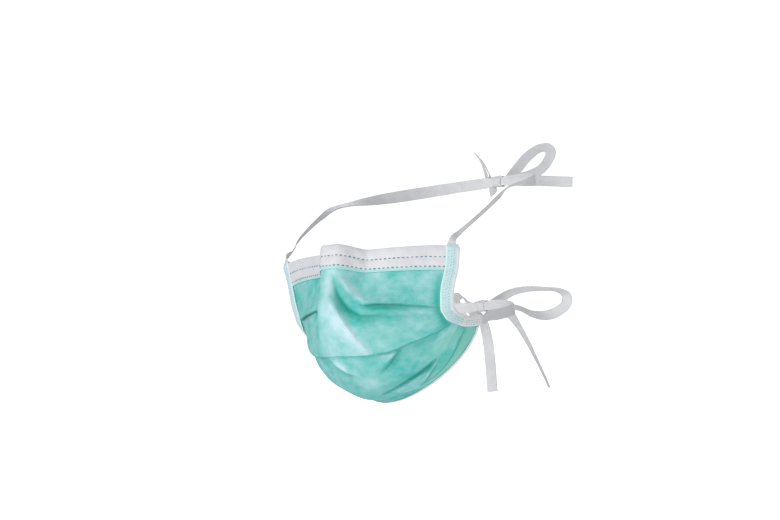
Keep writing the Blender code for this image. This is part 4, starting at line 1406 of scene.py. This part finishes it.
def spine(stops, root_way=None, twist=None):
    """The points, width and out directions and running length of a strip through its stops.

    Without a twist table the strip stands on edge and leans as its stops say. With one it is carried round.
    """
    table = np.array(stops, dtype=float)
    gaps = np.linalg.norm(np.diff(table[:, :3], axis=0), axis=1)
    running = np.concatenate(([0], np.cumsum(gaps)))
    rows = np.column_stack((running, table))
    length = running[-1]
    places = np.linspace(0, length, max(2, round(length / STRIP_STEP)) + 1)
    here = smooth_between(rows, places)
    ahead = smooth_between(rows, np.minimum(places + LOOK_BESIDE, length))
    behind = smooth_between(rows, np.maximum(places - LOOK_BESIDE, 0))
    run = unit(ahead[:, 1:4] - behind[:, 1:4])
    upright = np.array((0.0, 0.0, 1.0))
    width = unit(upright - run * (run @ upright)[:, None])
    aside = np.cross(run, width)
    lean = np.radians(here[:, 4])[:, None]
    width = width * np.cos(lean) + aside * np.sin(lean)
    if root_way is not None:
        share = fade(places / ROOT_BLEND)[:, None]
        root_way = root_way if width[0] @ root_way > 0 else -root_way
        width = unit(root_way * (1 - share) + width * share)
    if twist is not None:
        width = carried(run, width[0], upright, twist, places / length)
    out = unit(np.cross(run, width))
    return here[:, 1:4], width, out, places


print("a strip has a section every", STRIP_STEP / MM, "mm")

# %% [markdown]
# Every tie, loop and free end is the same strip, so one function makes them all. A strip narrows where
# it goes into a knot, and where a gather table says that it is bunched.

# %% Make a strip
STRIP_CRUMPLE = 0.25 * MM
KNOT_PINCH = 0.72
PINCH_LENGTH = 10 * MM

# the ties are painted greyer than the bindings of the same cloth, as painted shade
shaded_tie_white = spunbond("white tie spunbond", "#DADADB", "#C2C4C6", "#F4F4F4", 0.6, shading=False)


def strip(name, stops, seed, root_way=None, knot_ends=(False, False), twist=None, gather=None):
    """A tie, loop or free end."""
    points, width, out, places = spine(stops, root_way, twist)
    spread = np.ones(len(places)) if gather is None else between(*zip(*gather), places / places[-1])
    for at_end, distance in zip(knot_ends, (places, places[-1] - places)):
        if at_end:
            spread *= KNOT_PINCH + (1 - KNOT_PINCH) * fade(distance / PINCH_LENGTH)
    settings = {"Section": outline, "Width": TIE_WIDTH, "Thickness": TIE_THICKNESS, "Crumple": STRIP_CRUMPLE}
    settings.update({"Seed": float(seed), "Finish": shaded_tie_white})
    lines = {"width_way": width, "out_way": out, "run_mm": places / MM, "spread": spread}
    return grown(name, strip_maker, settings, points, lines)


print("finish of the ties:", shaded_tie_white.name)

# %% [markdown]
# The upper ties run up and back from the upper corners, the lower ones straight back from the lower
# corners, and each pair meets behind. Their stops are shares of a few sizes of the worn mask, with the
# angle by which the flat strip leans there. The ties hold their shape because they are pulled tight,
# so no simulation is needed.

# %% The paths of the ties
HEAD_HALF_WIDTH = 76 * MM
HEAD_BACK = 197 * MM
EAR_UP = 18 * MM
NECK_HALF_WIDTH = 59 * MM
NECK_BACK = 155 * MM
NECK_DOWN = 66 * MM
KNOT_WIDTH = 10 * MM
KNOT_DEPTH = 8.4 * MM
KNOT_LEAD = 2.2 * MM
KNOT_GAP = 0.3 * MM
KNOT_CORE = 1.5 * MM
TIE_LAYER = -0.34


class Stop(NamedTuple):
    """A point that a tie passes: shares of half width, back and height, and its lean in degrees."""

    out: float
    back: float
    up: float
    lean: float


UPPER_ROUTE = (
    Stop(0.930, 0.236, -0.26, -50),
    Stop(0.975, 0.290, 0.04, -22),
    Stop(1.000, 0.375, 0.42, -4),
    Stop(1.000, 0.453, 0.75, 14),
    Stop(0.985, 0.515, 0.97, 58),
    Stop(0.955, 0.585, 1.02, 66),
    Stop(0.905, 0.670, 1.00, 40),
    Stop(0.790, 0.780, 0.97, 12),
    Stop(0.580, 0.890, 0.95, 0),
    Stop(0.320, 0.965, 0.95, 0),
)
LOWER_ROUTE = (
    Stop(0.965, 0.515, -0.98, 0),
    Stop(0.925, 0.620, -0.99, 0),
    Stop(0.830, 0.765, -1.00, 0),
    Stop(0.630, 0.895, -1.00, 0),
    Stop(0.320, 0.965, -0.98, 0),
)
UPPER_KNOT = np.array((0, HEAD_BACK, EAR_UP * UPPER_ROUTE[-1].up))
LOWER_KNOT = np.array((0, NECK_BACK, NECK_DOWN * LOWER_ROUTE[-1].up))
print("knots:", UPPER_KNOT.round(4), LOWER_KNOT.round(4))

# %% [markdown]
# A tie starts inside the end of its binding, across the whole width of the binding, and is gathered
# there. It ends inside its knot, in front of the layers of the bow.

# %% Build the ties
UPPER_GATHER = ((0.0, 0.80), (0.03, 0.58), (0.08, 0.42), (0.25, 0.42), (0.38, 0.65), (0.55, 1.0), (1.0, 1.0))
LOWER_GATHER = ((0.0, 0.66), (0.06, 0.80), (0.15, 0.95), (0.3, 1.0), (1.0, 1.0))
UPPER_INSIDE = 0.9  # mm from the end of the binding to the start of the tie
LOWER_INSIDE = 2.0


def tie_stops(side, along, route, size, knot):
    """Stops of one tie from inside its binding to inside its knot, and the way its width starts."""
    width = float(half_width(along))
    places = np.array([side, side * (1 - binding_width(along) / width)], dtype=float)
    corner = form(places, np.full(2, float(along)))
    down = slopes(np.array([side * (1 - BINDING_WIDTH / 2 / width)]), np.array([float(along)]))[1][0]
    onwards = down if along > 0 else -down
    start = corner.mean(axis=0) + onwards * (LOWER_INSIDE if along > 0 else UPPER_INSIDE) * MM
    stops = [(*start, 0), (*(start + onwards * TIE_WIDTH / 2), 0)]
    for stop in route:
        stops.append((side * size[0] * stop.out, size[1] * stop.back, size[2] * stop.up, side * stop.lean))
    for x in (KNOT_WIDTH / 2 + KNOT_GAP + 2 * KNOT_LEAD, KNOT_WIDTH / 2, KNOT_CORE):
        stops.append((side * x, knot[1] + TIE_LAYER * KNOT_DEPTH, knot[2], 0))
    return stops, corner[1] - corner[0]


TIES = (
    ("upper", 0.0, UPPER_ROUTE, (HEAD_HALF_WIDTH, HEAD_BACK, EAR_UP), UPPER_KNOT, UPPER_GATHER),
    ("lower", 1.0, LOWER_ROUTE, (NECK_HALF_WIDTH, NECK_BACK, NECK_DOWN), LOWER_KNOT, LOWER_GATHER),
)
for side, word in SIDES:
    for height, along, route, size, knot, gather in TIES:
        stops, way = tie_stops(side, along, route, size, knot)
        seed = side * 3 + along * 5
        piece = strip(f"{height}_tie_{word}_strip", stops, seed, unit(way), (False, True), gather=gather)
        settle(piece, f"{height}_tie_{word}")

# %% [markdown]
# A bow has two loops and two free ends. A loop leaves the knot, swings out and comes back in another
# layer. The free ends are cut square. Loops and ends are the same strip on shorter paths, with stops
# as shares of the length of the loop or end.

# %% The paths of the loops and free ends
LOOP_LAYERS = (-0.14, 0.08)
TAIL_LAYER = 0.32
BOW_SWING = radians(38)
UPPER_LOOP = 42 * MM
UPPER_TAIL = 51 * MM
LOWER_LOOP = 61 * MM
LOWER_TAIL = 64 * MM


class Turn(NamedTuple):
    """A point of a bow: shares of its length outwards and up, and its shift aside."""

    out: float
    up: float
    aside: float


UPPER_LOOP_ROUTE = (
    Turn(0.30, 0.15, -0.13),
    Turn(0.52, 0.34, -0.11),
    Turn(0.72, 0.44, -0.10),
    Turn(0.86, 0.44, -0.06),
    Turn(0.92, 0.35, 0.01),
    Turn(0.85, 0.21, 0.06),
    Turn(0.73, 0.10, 0.06),
    Turn(0.54, 0.03, 0.02),
    Turn(0.32, 0.00, -0.06),
)
UPPER_TAIL_ROUTE = (
    Turn(0.25, -0.02, 0.00),
    Turn(0.50, -0.07, 0.08),
    Turn(0.75, -0.12, 0.12),
    Turn(1.00, -0.17, 0.13),
)
LOWER_LOOP_ROUTE = (
    Turn(0.18, 0.05, -0.13),
    Turn(0.34, 0.11, -0.12),
    Turn(0.53, 0.12, -0.11),
    Turn(0.71, 0.09, -0.10),
    Turn(0.87, 0.05, -0.08),
    Turn(0.95, -0.02, -0.03),
    Turn(0.94, -0.12, 0.01),
    Turn(0.82, -0.20, 0.03),
    Turn(0.67, -0.22, 0.03),
    Turn(0.54, -0.18, 0.02),
    Turn(0.40, -0.09, -0.01),
    Turn(0.24, -0.03, -0.06),
)
LOWER_TAIL_ROUTE = (
    Turn(0.16, -0.02, -0.02),
    Turn(0.25, -0.10, 0.03),
    Turn(0.34, -0.26, 0.08),
    Turn(0.42, -0.46, 0.11),
    Turn(0.49, -0.68, 0.12),
    Turn(0.55, -0.88, 0.12),
    Turn(0.58, -1.00, 0.12),
)
# degrees by which a strip has turned round its path, at shares of its length
UPPER_LOOP_TWIST = ((0.0, 0), (0.3, 8), (0.5, 24), (0.7, 8), (1.0, 0))
UPPER_TAIL_TWIST = ((0.0, 0), (1.0, 0))
LOWER_LOOP_TWIST = (
    (0.0, 0), (0.10, 30), (0.25, 50), (0.42, 52), (0.52, 30),
    (0.58, 20), (0.66, 52), (0.74, 74), (0.88, 66), (1.0, 0),
)
LOWER_TAIL_TWIST = ((0.0, 0), (0.12, 15), (0.35, 62), (0.6, 76), (1.0, 80))
print("stops of a lower loop:", len(LOWER_LOOP_ROUTE))

# %% [markdown]
# Both bows are made by the same lines. Each strip has its own layer in the knot, so the layers lie on
# each other there, and the bow swings back from the knot at one angle.

# %% Build the bows
def bow_stops(side, knot, length, route, layers):
    """Stops of a loop or free end, from inside the knot and, for a loop, back into it."""
    outwards = np.array((side * cos(BOW_SWING), sin(BOW_SWING), 0))
    aside = np.array((-side * sin(BOW_SWING), cos(BOW_SWING), 0))
    leads = [side * x for x in (KNOT_CORE, KNOT_WIDTH / 2, KNOT_WIDTH / 2 + KNOT_GAP + KNOT_LEAD)]
    stops = [(x, knot[1] + layers[0] * KNOT_DEPTH, knot[2], 0) for x in leads]
    for turn in route:
        place = knot + length * (outwards * turn.out + aside * turn.aside)
        stops.append((place[0], place[1], place[2] + length * turn.up, 0))
    if len(layers) > 1:
        stops += [(x, knot[1] + layers[1] * KNOT_DEPTH, knot[2], 0) for x in reversed(leads)]
    return stops


BOWS = (
    ("upper", UPPER_KNOT, "loop", UPPER_LOOP, UPPER_LOOP_ROUTE, LOOP_LAYERS, UPPER_LOOP_TWIST),
    ("upper", UPPER_KNOT, "tail", UPPER_TAIL, UPPER_TAIL_ROUTE, (TAIL_LAYER,), UPPER_TAIL_TWIST),
    ("lower", LOWER_KNOT, "loop", LOWER_LOOP, LOWER_LOOP_ROUTE, LOOP_LAYERS, LOWER_LOOP_TWIST),
    ("lower", LOWER_KNOT, "tail", LOWER_TAIL, LOWER_TAIL_ROUTE, (TAIL_LAYER,), LOWER_TAIL_TWIST),
)
for side, word in SIDES:
    for height, knot, kind, length, route, layers, twist in BOWS:
        stops = bow_stops(side, knot, length, route, layers)
        turned = [(share, degrees * side) for share, degrees in twist]
        seed = length * 1000 + side
        piece = strip(f"{height}_{kind}_{word}_strip", stops, seed, None, (True, kind == "loop"), turned)
        settle(piece, f"{height}_{kind}_{word}")

# %% [markdown]
# The knot of a bow is the same strip wrapped once round the others and pulled tight. Two wraps are
# enough for the eye: one straight round the strips, and one slanting across them on the back. They are
# closed lines in the same node tree, bunched narrower than the flat strip.

# %% Wrap the knots
WRAP_POINTS = 40
WRAP_ROUND = 0.7  # 1 would be an ellipse, and less is squarer
WRAP_THICKNESS = 1.1 * MM
WRAP_CRUMPLE = 0.6 * MM


def wrap(name, knot, half_depth, half_height, slant, width_share, seed):
    """A strip wrapped round the others at a knot, slanting by some degrees."""
    angles = np.linspace(0, 2 * pi, WRAP_POINTS, endpoint=False)
    level, back, up = np.zeros_like(angles), np.cos(angles), np.sin(angles)
    back_out = np.sign(back) * np.abs(back) ** WRAP_ROUND * half_depth
    up_out = np.sign(up) * np.abs(up) ** WRAP_ROUND * half_height
    ring = np.stack((level, back_out, up_out), axis=-1)
    out = unit(np.stack((level, back / half_depth, up / half_height), axis=-1))
    lean = radians(slant)
    turn = np.array(((cos(lean), 0, sin(lean)), (0, 1, 0), (-sin(lean), 0, cos(lean))))
    ring, out = ring @ turn.T, out @ turn.T
    width = np.broadcast_to(turn @ np.array((1.0, 0, 0)), ring.shape)
    run = np.concatenate(([0], np.cumsum(np.linalg.norm(np.diff(ring, axis=0), axis=1))))
    settings = {"Section": outline, "Width": TIE_WIDTH * width_share, "Thickness": WRAP_THICKNESS}
    settings.update({"Crumple": WRAP_CRUMPLE, "Seed": float(seed), "Finish": shaded_tie_white})
    wave = 1 + 0.10 * np.sin(3 * angles + seed)
    lines = {"width_way": width, "out_way": out, "run_mm": run / MM, "spread": wave}
    return grown(name, strip_maker, settings, ring + knot, lines, closed=True)


for height, knot in (("upper", UPPER_KNOT), ("lower", LOWER_KNOT)):
    straight = wrap("wrap_a", knot, 3.7 * MM, 3.3 * MM, 6, 0.86, 1)
    slanting = wrap("wrap_b", knot, 3.5 * MM, 3.1 * MM, 38, 0.62, 4)
    settle(join([straight, slanting], f"{height}_knot_wraps"), f"{height}_knot")
